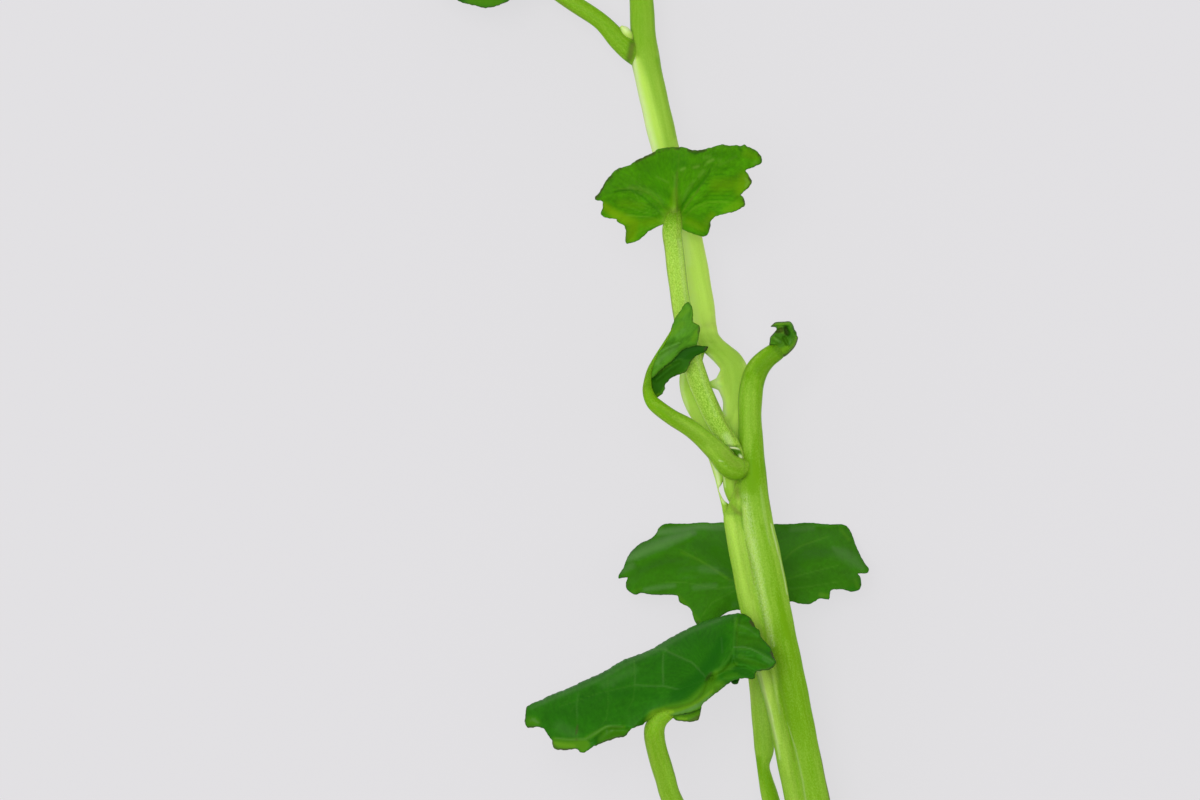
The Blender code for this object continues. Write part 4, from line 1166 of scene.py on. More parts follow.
# Sheets of the blades: each vein is a line, and rims run in order round the blade
UPPER_LEAF_PAINTS = {
    "bright": ((0.75, ((2.1, 17.3, 1.5), (2.25, 18, 1.3), (2.4, 18.9, 0.6))),),
    "warm": (
        (0.6, ((2.1, 18, 1.8), (2.4, 19.4, 0.9), (2.5, 21, 0.4))),
        (0.75, ((9.7, 22.6), (10.1, 21.7), (9.6, 21), (8.9, 20.4), (8.4, 21.2), (8.9, 22.4)), 0.6),
        (0.45, ((8.9, 19.5, 0.9), (7.6, 18.9, 0.7))), (0.5, ((6.6, 21.4, 1.2), (8.6, 21.6, 1))),
        (0.55, ((3.9, 17.8, 0.8), (5.2, 17.2, 0.7), (6.2, 18.4, 0.6))),
        (1, ((-4.6, 19.4, 0.6), (-3.6, 18.6, 0.8), (-1.6, 17.6, 1), (-2, 16.4, 1))),
        (0.5, ((-0.9, 17.6, 0.8), (0.8, 17.9, 0.6))),
        (0.3, ((-2.8, 19.6, 0.8), (-0.8, 19.4, 0.6))),
        (0.4, ((9.6, 24.6, 0.8), (10.6, 24.2, 0.5))),
    ),
    # Partly painted highlights on the raised veins and folds, lit from the left, and partly the
    # leaf's own pale veins and specks.
    "light": (
        *((0.2, ((1.4, 18.4 + 0.05 * i, 0.06), (-0.9, 18.35 + 0.45 * i, 0.07),
            (-2.6 + 0.3 * i, 18.5 + 0.8 * i, 0.05))) for i in range(6)),
        (0.3, ((2.4, 18.6, 0.2), (2.4, 20.4, 0.2), (2.5, 22.4, 0.18))),
        (0.5, ((9.5, 22.1, 0.2), (9.75, 21.7, 0.3), (9.55, 21.3, 0.2))),
        (0.2, ((1.3, 19.7, 0.2), (0.7, 20.4, 0.25), (-0.3, 21, 0.25), (-2, 21.4, 0.2))),
        (0.3, ((-0.2, 20.75, 0.3),)), (0.25, ((0.6, 22.3, 0.14), (1.8, 21.7, 0.16))),
        (0.35, ((-2.2, 21.15, 0.25), (-1.6, 21.1, 0.2))),
        (0.22, ((3.3, 19.9, 0.2), (3.7, 20.9, 0.35), (4.4, 21.9, 0.25))),
        (0.6, ((3.1, 22.95, 0.22), (3.45, 23.1, 0.2))),
        (0.55, ((4.35, 23.15, 0.2), (4.8, 23.3, 0.22))), (0.4, ((5.5, 23.45, 0.18),)),
        (0.6, ((5.75, 23.7, 0.25), (6.25, 23.95, 0.25))),
        (0.25, ((5.4, 24.15, 0.3), (6, 24.3, 0.25))), (0.3, ((4.9, 22.3, 0.3), (5.3, 22.8, 0.35))),
        (0.2, ((6.9, 23.9, 0.4),)), (0.14, ((6.8, 23.4, 0.2), (7.6, 23.7, 0.2), (8.6, 24.3, 0.2))),
        (0.3, ((10.5, 23.6, 0.4),)),
    ),
    "brown": (
        (0.35, ((2.75, 18.2, 0.14), (2.7, 19.2, 0.16), (2.6, 20.7, 0.17), (2.7, 22.7, 0.14))),
        (0.7, ((-5.5, 20.1, 0.13), (-4.9, 20.8, 0.1), (-4.2, 21.9, 0.07), (-3.2, 22.85, 0.05),
            (-1.2, 23.8, 0.1), (0.1, 24.4, 0.08), (1.6, 24.95, 0.05), (3.1, 25, 0.05))),
        (0.65, ((9.84, 22.16, 0.06), (10.1, 21.66, 0.09), (9.72, 21.08, 0.06), (9, 20.42, 0.05))),
        (0.65, ((9.3, 20, 0.05), (9.38, 19.4, 0.08), (9.12, 19.16, 0.07), (8.4, 18.8, 0.06),
            (6.3, 18.1, 0.05))),
        (0.6, ((5.98, 17.7, 0.05), (5.94, 17.1, 0.06), (5.58, 16.4, 0.07), (4.8, 16.5, 0.06))),
        (0.6, ((10.2, 24.85, 0.05), (10.8, 24.4, 0.06), (11.05, 23.95, 0.09), (11, 23.55, 0.06),
            (10.1, 23.1, 0.05))),
        (0.3, ((3.48, 19.16, 0.1), (4.2, 20.12, 0.1), (4.8, 20.96, 0.1), (5.4, 21.8, 0.08))),
        (0.5, ((3.7, 24.85, 0.08), (4.5, 24.62, 0.16), (5.6, 24.85, 0.1))),
        (0.6, ((9.85, 22.1, 0.1), (10.05, 21.65, 0.16), (9.8, 21.2, 0.1))),
        (0.4, ((5.3, 16.4, 0.14), (5.65, 16.5, 0.14))),
        (0.5, ((10.95, 24, 0.14), (11, 23.6, 0.14))), (0.5, ((9.25, 19.4, 0.14), (9, 19.2, 0.1))),
        (0.4, ((-5.4, 20.1, 0.2), (-4.9, 20.3, 0.14))),
    ),
    # Mostly painted shade beside the raised veins and in the hollows between them, with some dark
    # spots of the leaf's own.
    "dark": (
        *((0.38, ((1, 18.1 + 0.06 * i, 0.07), (-1.2, 17.9 + 0.3 * i, 0.08),
            (-3.3 + 0.1 * i, 17.8 + 0.52 * i, 0.05))) for i in range(7)),
        *((0.6, ((5.3 + i % 3 * 0.3, 20.3 + 0.42 * i, 0.09), (7, 20.45 + 0.41 * i, 0.1),
            (8.9 + i % 2 * 0.3, 20.3 + 0.38 * i, 0.06))) for i in range(6)),
        (0.5, ((2.4, 23.2, 0.7), (3.4, 23.6, 0.7))),
        (0.3, ((-0.6, 22.4, 1.5), (1.6, 23.4, 1.5), (3, 24.2, 0.9))),
        (0.4, ((0.6, 21.4, 1), (1.9, 20.4, 0.6))), (0.3, ((6.2, 24.3, 0.6), (8.6, 24.4, 0.7))),
        (0.6, ((1.4, 18.2, 0.18), (0.9, 18.74, 0.24), (0.04, 19.6, 0.27), (-0.96, 20.46, 0.25),
            (-1.97, 21, 0.2), (-3, 20.9, 0.16), (-3.84, 20.7, 0.1))),
        (0.5, ((0.9, 18.2, 0.15), (-0.4, 18.45, 0.14), (-1.44, 18.58, 0.12),
            (-2.76, 18.62, 0.08))),
        (0.35, ((0.8, 18, 0.12), (-0.4, 18.05, 0.12), (-1.6, 18, 0.1), (-2.8, 18.1, 0.08))),
        (0.35, ((1.7, 18.7, 0.14), (1.1, 19.9, 0.14), (0.4, 20.9, 0.1))),
        (0.35, ((-3.9, 18.9, 0.15), (-3.2, 19, 0.15), (-2.6, 19.4, 0.12))),
        (0.75, ((2.94, 18.6, 0.16), (3.3, 19.6, 0.22), (4.08, 20.7, 0.26), (5.04, 21.56, 0.28),
            (5.76, 22.4, 0.24), (6, 23, 0.16))),
        (0.5, ((3.6, 18.7, 0.14), (4.44, 19.52, 0.15), (5.4, 19.95, 0.14), (6.96, 20.05, 0.14),
            (8.4, 19.9, 0.1))),
        (0.3, ((5.9, 19.3, 0.12), (7.2, 19.3, 0.1))),
        (0.3, ((6.2, 23.4, 0.4), (7.2, 23, 0.3), (8.4, 23.2, 0.25))),
        (0.9, ((3.8, 24.8, 0.12), (4.4, 24.55, 0.22), (5.4, 24.8, 0.12))),
        (0.9, ((8.8, 25.1, 0.14), (9.1, 24.8, 0.2))), (0.5, ((5, 16.9, 0.3), (5.6, 16.6, 0.3))),
    ),
}
UPPER_LEAF = {
    "hub": (2.3, 19, 16.6), "tilt": (0, 1.1), "swell": -0.9, "relief": 0.5, "edge": 0.4,
    "waves": ((5, 0.35, 0.4), (9, 0.2, 1.1)), "branching": (0.9, 2.4),
    "rim": (
        (1.2, 17.6), (0.9, 17.46), (0.36, 17.18), (-0.24, 16.82), (-0.72, 16.34), (-1.2, 15.92),
        (-1.92, 15.7), (-2.26, 15.58), (-2.4, 15.8), (-2.34, 16.4), (-2.4, 17.12), (-2.58, 17.42),
        (-3.3, 17.78), (-3.26, 18.02), (-4.32, 18.18), (-4.94, 18.54), (-4.7, 18.92),
        (-4.7, 19.64), (-4.92, 19.88), (-5.54, 20.02), (-5.04, 20.54), (-4.68, 21.2),
        (-4.2, 21.92), (-3.24, 22.86), (-2.16, 23.18), (-1.2, 23.78), (0.12, 24.38), (0.84, 24.8),
        (1.68, 24.98), (3.12, 25.02), (3.6, 24.9), (4.44, 24.68), (5.52, 24.82), (6.48, 25.1),
        (7.3, 25.28), (7.92, 25.14), (8.52, 25.22), (9.1, 25.14), (9.36, 25.28), (9.6, 25.12),
        (10.2, 24.86), (10.8, 24.44), (11.06, 23.98), (11.02, 23.54), (10.08, 23.12),
        (9.48, 22.82), (9.84, 22.16), (10.1, 21.66), (9.72, 21.08), (9, 20.42), (9.3, 20),
        (9.38, 19.4), (9.12, 19.16), (8.4, 18.8), (6.84, 18.42), (6.24, 18.08), (5.98, 17.72),
        (5.94, 17.12), (5.58, 16.36), (4.8, 16.46), (3.96, 16.76), (3.3, 17.1), (2.9, 17.5),
        (2, 17.8),
    ),
    "veins": (
        ((2.65, 18.5, 0.2), (2.6, 20.5, 0.2), (2.7, 22.4, 0.14), (2.9, 24.6, 0.08)),
        ((2, 18.2, 0.16), (1.1, 19.6, 0.14), (-0.2, 20.7, 0.13), (-1.6, 21.15, 0.12),
            (-3.4, 21, 0.08)),
        ((1.5, 17.9, 0.14), (0, 18.25, 0.12), (-1.5, 18.3, 0.1), (-3.2, 18.2, 0.07)),
        ((3, 18.4, 0.14), (3.6, 19.4, 0.13), (4.6, 20.7, 0.12), (5.5, 22, 0.11),
            (6.6, 23.6, 0.07)),
        ((3.1, 18, 0.14), (4.3, 19.1, 0.12), (5.6, 19.7, 0.1), (7.2, 19.8, 0.09),
            (8.9, 19.6, 0.06)),
        ((3.1, 17.8, 0.14), (4.3, 17.6, 0.1), (5.4, 16.8, 0.07)),
        ((1.4, 17.7, 0.12), (0, 17.3, 0.1), (-1.9, 16.4, 0.06)),
    ),
    "lifts": (
        (-0.3, ((0.8, 18.3, 0.4), (0.1, 20, 0.6), (-1.6, 20.8, 0.6), (-3.3, 20.7, 0.4))),
        (0.3, ((2.2, 19, 0.5), (1, 20.9, 0.8), (-1.2, 22, 0.9))),
        (-0.3, ((2.95, 18.9, 0.3), (4.1, 20.85, 0.5), (5.8, 22.4, 0.5), (6.1, 23.2, 0.4))),
        (0.3, ((4.6, 19.9, 0.5), (6.4, 21.6, 0.8), (8.2, 22.4, 0.8))),
        (0.4, ((2.5, 18.2, 0.7), (2.6, 19.5, 0.4), (2.7, 22, 0.25))),
    ),
    "plain": (((0.9, 17.5, 0.9), (2.2, 17.7, 1.3), (3.5, 17.2, 0.9)),),
    "paints": UPPER_LEAF_PAINTS,
}
REAR_LEAF_PAINTS = {
    # Painted sheen along the top edge, the folds and the lobes.
    "light": (
        (0.6, ((0.9, -13.3, 0.5), (2.4, -13.1, 0.6), (5.2, -12.7, 0.5), (7.3, -12.8, 0.5))),
        (0.62, ((-2.2, -15.9, 0.6), (-0.6, -15.2, 0.8), (1, -14.5, 0.8), (2.6, -13.9, 0.8),
            (4.4, -13.3, 0.5))),
        (0.35, ((-2.8, -17.2, 0.5), (-1.8, -16.6, 0.6))),
        (0.42, ((-0.5, -19, 0.35), (0.8, -18.8, 0.45), (2.4, -18.6, 0.4))),
        (0.3, ((5.2, -17, 0.6), (6.6, -17.1, 0.6))), (0.3, ((4.5, -18.8, 0.5), (6.5, -18.6, 0.5))),
        (0.35, ((14.2, -13, 0.4), (16.4, -12.9, 0.4))),
        (0.3, ((18.4, -14.8, 0.3), (19.3, -15.4, 1), (20.4, -16.1, 1), (21.3, -16.9, 0.4))),
    ),
    "warm": (
        (0.5, ((3.2, -15.3, 0.35), (4.8, -16, 0.35), (6.3, -16.9, 0.35), (8, -18, 0.4))),
        (0.5, ((0.5, -13, 0.3), (1.3, -12.8, 0.3))),
        (0.55, ((2.8, -19.6, 0.5), (3.6, -20.5, 0.5), (4.4, -21.6, 0.6), (5, -22.2, 0.4))),
        (0.45, ((-1.7, -19.2, 0.4), (-0.9, -18.9, 0.3))),
        (0.3, ((-2.3, -18.5, 0.3), (-1.9, -18, 0.3))),
        (0.25, ((4.6, -20.4, 0.9), (6.4, -19.6, 0.7))),
        (0.24, ((-3, -17.8), (1.3, -12.4), (12, -12.3), (20, -12.6), (22, -17), (17, -20.2),
            (9.5, -21), (4.6, -22.3), (-2.3, -19)), 0.4),
        (0.5, ((19.2, -13, 0.5), (20, -14, 0.5))),
        (0.35, ((13.6, -15.9, 0.35), (15, -14.7, 0.35), (17.6, -13.8, 0.35))),
        (0.75, ((17.1, -19.5, 0.5), (17.8, -19.6, 0.4))),
        (0.45, ((20.6, -18, 0.5), (20.8, -18.7, 0.4))),
    ),
    # The darker places between the folds, partly painted shade.
    "dark": (
        (0.55, ((4.6, -14.5, 0.9), (6.4, -14.9, 1.2), (7.8, -16.4, 1.3))),
        (0.4, ((-1.6, -17.4, 0.7), (0.6, -16.4, 0.9), (2.6, -16.8, 0.9))),
        (0.45, ((7.6, -19.6, 0.8), (8.6, -20.4, 0.7))),
        (0.4, ((12.8, -13.4, 0.8), (14.8, -13.4, 0.8))),
        (0.5, ((13.5, -16.6, 1.2), (15.8, -15.4, 1.2), (17.6, -15.2, 1))),
        (0.35, ((14.4, -18.4, 0.9), (17.5, -18, 0.9))),
    ),
    "brown": (
        (0.5, ((21.1, -18.5, 0.2),)), (0.5, ((15.9, -20.3, 0.2),)), (0.6, ((4.8, -22.2, 0.25),)),
        (0.4, ((-2.2, -18.5, 0.2),)), (0.4, ((3, -20.15, 0.2),)),
    ),
}
REAR_LEAF = {
    "hub": (9.6, -17.6, 5), "tilt": (0, -0.95), "swell": 1.1, "relief": -0.4, "edge": 0.12,
    "fret": 0.008, "waves": ((5, 0.25, 0), (11, 0.12, 0.7)), "branching": (1.6, 2.6),
    "rim": (
        (7.35, -12.29), (6.37, -12.36), (5.28, -12.29), (4.07, -12.4), (2.98, -12.42), (2, -12.4),
        (1.35, -12.5), (0.91, -12.86), (0.58, -13.46), (0.04, -13.95), (-0.84, -14.33),
        (-1.6, -14.93), (-2.2, -15.69), (-2.64, -16.78), (-3.14, -17.6), (-3.02, -17.79),
        (-2.25, -17.71), (-2.42, -18.42), (-2.25, -18.97), (-1.49, -19.4), (-0.84, -19.24),
        (0.36, -19.42), (2.44, -19.46), (2.82, -19.73), (2.98, -20.22), (3.86, -20.71),
        (4.18, -21.15), (4.35, -21.8), (4.73, -22.4), (5.7, -22.3), (6.8, -21.85), (7.45, -21.45),
        (7.75, -21.25), (8.67, -21.02), (9.5, -21), (10.8, -20.3), (12.6, -20.5), (14.14, -20.18),
        (14.95, -20.36), (15.95, -20.41), (16.59, -20.14), (17.05, -19.86), (17.91, -19.95),
        (18.05, -19.41), (18.23, -19), (19.23, -18.91), (20.23, -19.14), (20.95, -18.95),
        (21.18, -18.59), (21.14, -17.86), (20.86, -17.32), (21.68, -17.27), (22, -16.95),
        (21.59, -16.41), (21.05, -15.41), (20.59, -14.32), (20.32, -13.5), (19.95, -12.86),
        (19.41, -12.5), (17.86, -12.48), (15.86, -12.32), (14.23, -12.45), (12.5, -12.45),
        (9.8, -12.35),
    ),
    "veins": (
        ((9.4, -18.4, 0.2), (7.78, -17.98, 0.16), (6.37, -16.9, 0.14), (4.73, -15.9, 0.12),
            (3.1, -15, 0.08)),
        ((9.4, -18.5, 0.2), (6.8, -18.9, 0.12), (3.6, -18.3, 0.09), (0.2, -18.2, 0.07)),
        ((9.6, -18.2, 0.2), (8.4, -15.6, 0.12), (7.6, -13.2, 0.08)),
        ((9.8, -18.2, 0.2), (13.6, -15.95, 0.14), (14.23, -15.2, 0.13), (15.3, -14.6, 0.12),
            (17.9, -13.7, 0.08)),
        ((9.8, -18.3, 0.18), (14, -17.9, 0.12), (15.2, -17.5, 0.1), (18.8, -16.6, 0.08)),
        ((9.8, -18.5, 0.18), (14.5, -18.9, 0.12), (19, -18.2, 0.08)),
        ((9.4, -18.6, 0.18), (6.2, -20.3, 0.1), (5, -21.9, 0.07)),
    ),
    "lifts": (
        (0.5, ((-1.3, -15.4, 0.8), (0.5, -14.6, 0.8), (2.2, -14.1, 0.8), (4, -13.4, 0.8))),
        (-0.3, ((-1, -16.6, 0.8), (1.6, -15.6, 0.8), (3.4, -15.8, 0.8))),
        (0.4, ((7.6, -17.7, 0.8), (5.6, -17.2, 0.9), (3.4, -17.4, 0.8))),
        (-0.3, ((6.6, -15.8, 1.2), (8, -17, 0.8))), (0.3, ((16, -16, 1.2), (19.5, -15.8, 1))),
    ),
    "paints": REAR_LEAF_PAINTS,
}
FRONT_LEAF_PAINTS = {
    "dark": (
        (0.3, ((-11, -31.5), (-5, -28.5), (1, -26), (7, -22.5), (8, -25), (4.6, -29), (0, -30.8),
            (-3, -32), (-7, -33)), 0.8),
        (0.35, ((3.6, -24.3, 1.8), (6.2, -24, 1.6))),
        (0.8, ((2.6, -29.4, 1.5), (4.6, -28, 1.4), (6.2, -26, 1.4), (7.2, -24, 1.2))),
        (0.35, ((0.6, -26.6, 2.2), (3.4, -26.4, 1.8))),
        (0.5, ((-3.4, -29.4, 1.2), (-1, -29.2, 1.2), (0.6, -29.6, 1))),
        (0.3, ((-2.4, -30.8, 1.4), (-0.2, -30.6, 1.2))),
        (0.35, ((-9.4, -31.4, 1), (-5.6, -31.6, 1.2))),
        (0.6, ((8.6, -26.9, 0.6), (9.7, -27.3, 0.6), (10.4, -27.8, 0.4))),
        (0.5, ((9.6, -22.3, 0.5), (10.3, -23.1, 0.5), (9.4, -23.5, 0.6))),
        (0.5, ((10.4, -24.4, 0.4), (11.6, -25.1, 0.4), (12.2, -25.6, 0.3))),
        (0.4, ((-5.6, -34.2, 0.3), (-4.6, -33.6, 0.3), (-3.6, -33.35, 0.3))),
        (0.7, ((-7, -29.55, 0.14), (-6.6, -29.75, 0.16), (-6.2, -29.7, 0.1))),
    ),
    "warm": (
        (0.7, ((6.6, -27.2, 0.5), (6.1, -28.1, 0.7), (5.3, -29.1, 0.8), (4.2, -30.1, 0.8))),
        (0.75, ((6.1, -28.1), (4.9, -29.3), (3.4, -30.05), (1.8, -30.45), (0.5, -30.9),
            (-0.3, -31.5), (0.2, -32.4), (3.4, -32), (5.9, -30.6), (7.2, -29.2),
            (7.4, -28.2)), 0.4),
        (0.35, ((7, -27, 0.5), (7.9, -26.6, 0.5), (8.6, -26.3, 0.3))),
        (0.25, ((7.6, -27.7, 0.5), (8.6, -27.4, 0.4))),
        (0.2, ((8.75, -21.9), (9.9, -22.3), (11, -23.8), (11.6, -25), (10.2, -24.6),
            (8.75, -24.5)), 0.3),
        (0.35, ((8.6, -21.9, 0.4), (8.7, -23.2, 0.25), (8.65, -24.6, 0.2))),
        (0.22, ((9, -25.6, 0.5), (10.2, -26.2, 0.5), (11.6, -26.6, 0.4))),
        (0.5, ((-12.2, -31.7), (-12.3, -32.4), (-11.4, -32.5), (-11, -32.2),
            (-11.4, -31.8)), 0.35),
        (0.8, ((-9.8, -34), (-9.6, -34.7), (-8.6, -34.85), (-7.3, -34.75), (-6.9, -35.1),
            (-6.4, -35), (-6, -34.4), (-6.4, -33.9), (-8, -34)), 0.22),
        (0.6, ((-9.6, -33.8, 0.3), (-8.4, -33.9, 0.3), (-6.6, -33.9, 0.35), (-5.4, -33.2, 0.35),
            (-4.4, -32.6, 0.25), (-2.6, -32.6, 0.25))),
        (0.4, ((-5.2, -34.1), (-4.77, -33.1), (-4, -32.75), (-2.6, -32.85), (-1.9, -32.8),
            (-2.4, -33.25), (-3.6, -33.65)), 0.2),
    ),
    "bright": (
        (0.9, ((0.1, -32.1, 0.8), (0.5, -31.5, 0.85), (1.4, -31.2, 0.7), (2.2, -31.1, 0.4))),
        (0.3, ((1.6, -31.1, 0.6), (2.8, -30.95, 0.5), (4, -30.5, 0.4), (5.2, -29.8, 0.3),
            (6.2, -29, 0.2))),
        (0.22, ((-9.6, -34.2, 0.3), (-8.8, -34.4, 0.4), (-7.6, -34.5, 0.3))),
    ),
    # Painted sheen along the top margin, the folds and the lower rim, and some pale veins.
    "light": (
        *((0.5, ((3.5 + 0.28 * i, -31.3 + 0.13 * i + 0.12 * (i % 2), 0.12),)) for i in range(6)),
        (0.6, ((2.1, -31.4, 0.15), (3.2, -31.15, 0.25), (4.3, -30.7, 0.32), (5, -30.3, 0.3),
            (5.6, -29.8, 0.18), (6.3, -29.3, 0.12))),
        (0.35, ((7, -28.75, 0.1), (8.1, -28, 0.1), (9.8, -27.75, 0.08))),
        (0.45, ((8.4, -24.65, 0.12), (9.2, -24.6, 0.12), (10, -24.8, 0.1), (11, -25.3, 0.09),
            (11.9, -25.85, 0.12), (12.2, -26.1, 0.12))),
        (0.22, ((11.3, -25.8, 0.3), (11.9, -26.2, 0.28))),
        (0.2, ((8.8, -22.4, 0.12), (9.9, -22.9, 0.15), (10.8, -23.6, 0.12))),
        (0.2, ((-11.9, -30.75, 0.3), (-9, -29.5, 0.3), (-5, -27.9, 0.35), (-2, -26.2, 0.35),
            (0.8, -24.9, 0.35), (4, -23.1, 0.3), (7, -21.95, 0.25))),
        (0.15, ((-4.6, -28.4, 0.7), (-1.6, -26.9, 0.7))),
        (0.3, ((1, -24.7, 0.3), (1.6, -24.9, 0.3))),
        (0.22, ((5.5, -27.6, 0.12), (4.2, -26.2, 0.14), (2.8, -25.6, 0.14), (1.5, -25, 0.12))),
        (0.22, ((1.3, -25.4, 0.1), (1.26, -26.8, 0.14), (1.3, -28.4, 0.14))),
        (0.12, ((-1.6, -25.9, 0.14), (-1.45, -27.2, 0.16), (-1.6, -28.5, 0.14))),
        (0.2, ((-1.4, -28.45, 0.12), (0.6, -28.6, 0.12), (1.3, -28.5, 0.16), (2.8, -28.85, 0.1))),
        (0.14, ((7.1, -23.7, 0.12), (7.2, -25.2, 0.12))),
        (0.15, ((-9, -32.6, 1), (-7.6, -33.3, 0.8))),
        (0.12, ((-7.2, -29.3, 0.12), (-7.35, -30.4, 0.14), (-7.25, -31.6, 0.14))),
        (0.18, ((-3.7, -28.4, 0.4),)), (0.4, ((-11.7, -31.9, 0.25), (-11.2, -32.2, 0.2))),
        (0.3, ((-9.4, -33.75, 0.12), (-8, -33.85, 0.12), (-6.4, -33.8, 0.14), (-5.3, -33.1, 0.14),
            (-4.2, -32.5, 0.14), (-2.8, -32.55, 0.12))),
        (0.4, ((-4.3, -32.95, 0.15), (-4.35, -33.15, 0.12))), (0.3, ((-3.75, -32.95, 0.14),)),
        (0.35, ((-3.9, -33, 0.16),)), (0.3, ((-11.9, -32, 0.16), (-11.5, -31.8, 0.12))),
    ),
    "brown": (
        (0.35, ((5.6, -27.9, 0.2), (5.85, -27.5, 0.25), (6.1, -27.2, 0.2))),
        (0.55, ((-7.25, -32.4, 0.1), (-7.3, -32.9, 0.18), (-7.4, -33.3, 0.12))),
        (0.5, ((-7.35, -33.85, 0.16),)), (0.85, ((10, -22.1, 0.18), (10.3, -22.5, 0.26))),
        (0.8, ((12.05, -25.1, 0.16), (12.3, -25.55, 0.26))),
        (0.5, ((-9.75, -34.2, 0.14), (-9.45, -34.68, 0.16), (-8.7, -34.85, 0.1),
            (-7.4, -34.78, 0.08))),
        (0.35, ((-1.6, -32.55, 0.16), (-1.2, -32.5, 0.12))),
    ),
}
FRONT_LEAF = {
    "hub": (6.1, -27.6, 18), "tilt": (0.32, -0.73), "swell": 0.9, "relief": -0.5, "edge": 0.5,
    "waves": ((4, 0.2, 0.3), (9, 0.15, 0.5)), "branching": (2.2, 1.8), "vein_paint": 0.75,
    "roll": 0.9,
    "rim": (
        (-12.41, -32.5), (-12.41, -31), (-12.25, -30.6), (-11.86, -30.33), (-10.88, -29.95),
        (-9.9, -29.45), (-8.7, -29), (-7.61, -28.53), (-6.74, -28.09), (-5.97, -27.76),
        (-4.88, -27.27), (-4.01, -26.78), (-3.25, -26.29), (-2.37, -25.85), (-1.28, -25.47),
        (0.2, -24.85), (1.55, -24.03), (2.82, -23.33), (4.09, -22.69), (5.37, -22.12),
        (6.64, -21.74), (7.91, -21.42), (9, -21.3), (9.75, -21.55), (10.3, -22.15),
        (10.52, -22.69), (10.97, -23.07), (11.07, -23.65), (11.73, -24.35), (12.12, -24.92),
        (12.35, -25.62), (12.56, -26.13), (12.42, -26.42), (11.9, -26.73), (11.2, -26.9),
        (10.7, -26.98), (10.48, -27.3), (10.42, -27.72), (10.05, -27.82), (9.4, -27.75),
        (8.68, -27.85), (7.91, -28.2), (7.15, -28.81), (6.13, -29.57), (5.24, -30.33),
        (4.98, -30.75), (4.09, -31.1), (2.69, -31.42), (2.1, -31.5), (1.75, -31.45), (1.2, -31.35),
        (0.5, -31.5), (-0.2, -31.95), (-0.8, -32.4), (-1.45, -32.62), (-1.94, -32.84),
        (-2.37, -33.33), (-3.35, -33.6), (-4.12, -33.82), (-4.99, -34.2), (-5.86, -34.69),
        (-6.52, -35.13), (-6.95, -35.15), (-7.23, -34.82), (-7.83, -34.8), (-8.7, -34.85),
        (-9.52, -34.75), (-9.74, -34.36), (-9.85, -33.87), (-10.23, -33.38), (-10.66, -32.78),
        (-11.32, -32.6),
    ),
    "veins": (
        ((5.6, -27.5, 0.14), (4.09, -26.1, 0.13), (1.55, -24.95, 0.12), (-0.6, -24.9, 0.07)),
        ((5.6, -27.8, 0.12), (2.9, -28.9, 0.1), (1.2, -28.5, 0.13), (-1.4, -28.4, 0.11),
            (-5, -29.2, 0.08), (-9, -30.6, 0.07)),
        ((1.3, -25.2, 0.1), (1.26, -26.6, 0.12), (1.35, -28.1, 0.12)),
        ((-1.6, -26, 0.09), (-1.5, -28.3, 0.1), (-1.7, -30, 0.09), (-2.6, -31.6, 0.06)),
        ((-4.2, -27.8, 0.07), (-4.2, -30.6, 0.08), (-4.4, -32.2, 0.05)),
        ((-7.1, -29.2, 0.05), (-7.35, -31, 0.08), (-7.25, -33.8, 0.08)),
        ((6.3, -27.3, 0.2), (7.75, -25.9, 0.16), (8.3, -24.9, 0.15), (8.45, -22.2, 0.14)),
        ((8.6, -24.85, 0.14), (10, -24.8, 0.16), (11.4, -25.3, 0.15), (12.3, -26, 0.1)),
        ((8.6, -22.5, 0.1), (9.8, -22.6, 0.1), (10.7, -23.2, 0.07)),
        ((7.5, -26.8, 0.1), (8.6, -26.9, 0.1), (10.2, -27.5, 0.07)),
    ),
    "lifts": (
        (0.75, ((8.52, -21), (8.52, -22.8), (8.49, -24.1), (8.36, -25.1), (7.91, -26.1),
            (7.28, -26.9), (6.39, -27.45), (5.75, -27.8), (5.49, -28.55), (4.98, -29.44),
            (4.09, -30.2), (2.82, -30.6), (0.91, -30.97), (-0.11, -31.54), (-1, -32.3),
            (-3, -34.5), (-14, -37), (-14, -30), (0, -22)), 0.28),
        (0.4, ((8.4, -26.3), (9.6, -26.62), (10.5, -27.1), (13, -28), (14, -24), (10, -20),
            (8.8, -20.5), (8.4, -24)), 0.15),
        (0.3, ((8.6, -24.8, 0.4), (10, -24.8, 0.5), (11.4, -25.4, 0.5), (12.4, -26, 0.4))),
        (-0.3, ((8.7, -25.8, 0.5), (10.4, -26, 0.5), (11.6, -26.5, 0.3))),
        (0.25, ((8.8, -22.5, 0.4), (10.2, -22.6, 0.4))),
        (-0.25, ((8.8, -23.4, 0.4), (10.8, -23.7, 0.4))),
        (-0.35, ((-4.9, -33.9, 0.8), (-3.8, -33, 0.6), (-2.2, -33, 0.5))),
        (0.25, ((-6, -33.8, 0.4), (-4.6, -32.5, 0.5), (-2.9, -32.3, 0.4))),
    ),
    "plain": (
        ((-1.5, -32.6, 1.2), (0, -31.9, 1), (1.2, -31.3, 0.9), (2.2, -31.5, 0.7), (5, -30.7, 0.9),
            (8.5, -28.1, 0.7)),
    ),
    "hang": (
        (-12.41, -32.35, 0), (-12.35, -30.9, 0), (-11.8, -30.3, 0.6), (-9.9, -29.45, 2.6),
        (-6.7, -28.1, 3.8), (-4, -26.8, 4.1), (-1.3, -25.5, 4.4), (1.55, -24, 4.4),
        (4.1, -22.7, 4), (6.6, -21.75, 3), (7.9, -21.4, 1.8), (8.6, -21.3, 0.3), (9.5, -21.55, 0),
        (12, -25, 0), (11.5, -26.95, 0), (8.3, -28.2, 0), (5.1, -30.5, 0), (0, -32.3, 0),
        (-4, -33.6, 0), (-9, -34.8, 0),
    ),
    "paints": FRONT_LEAF_PAINTS,
}
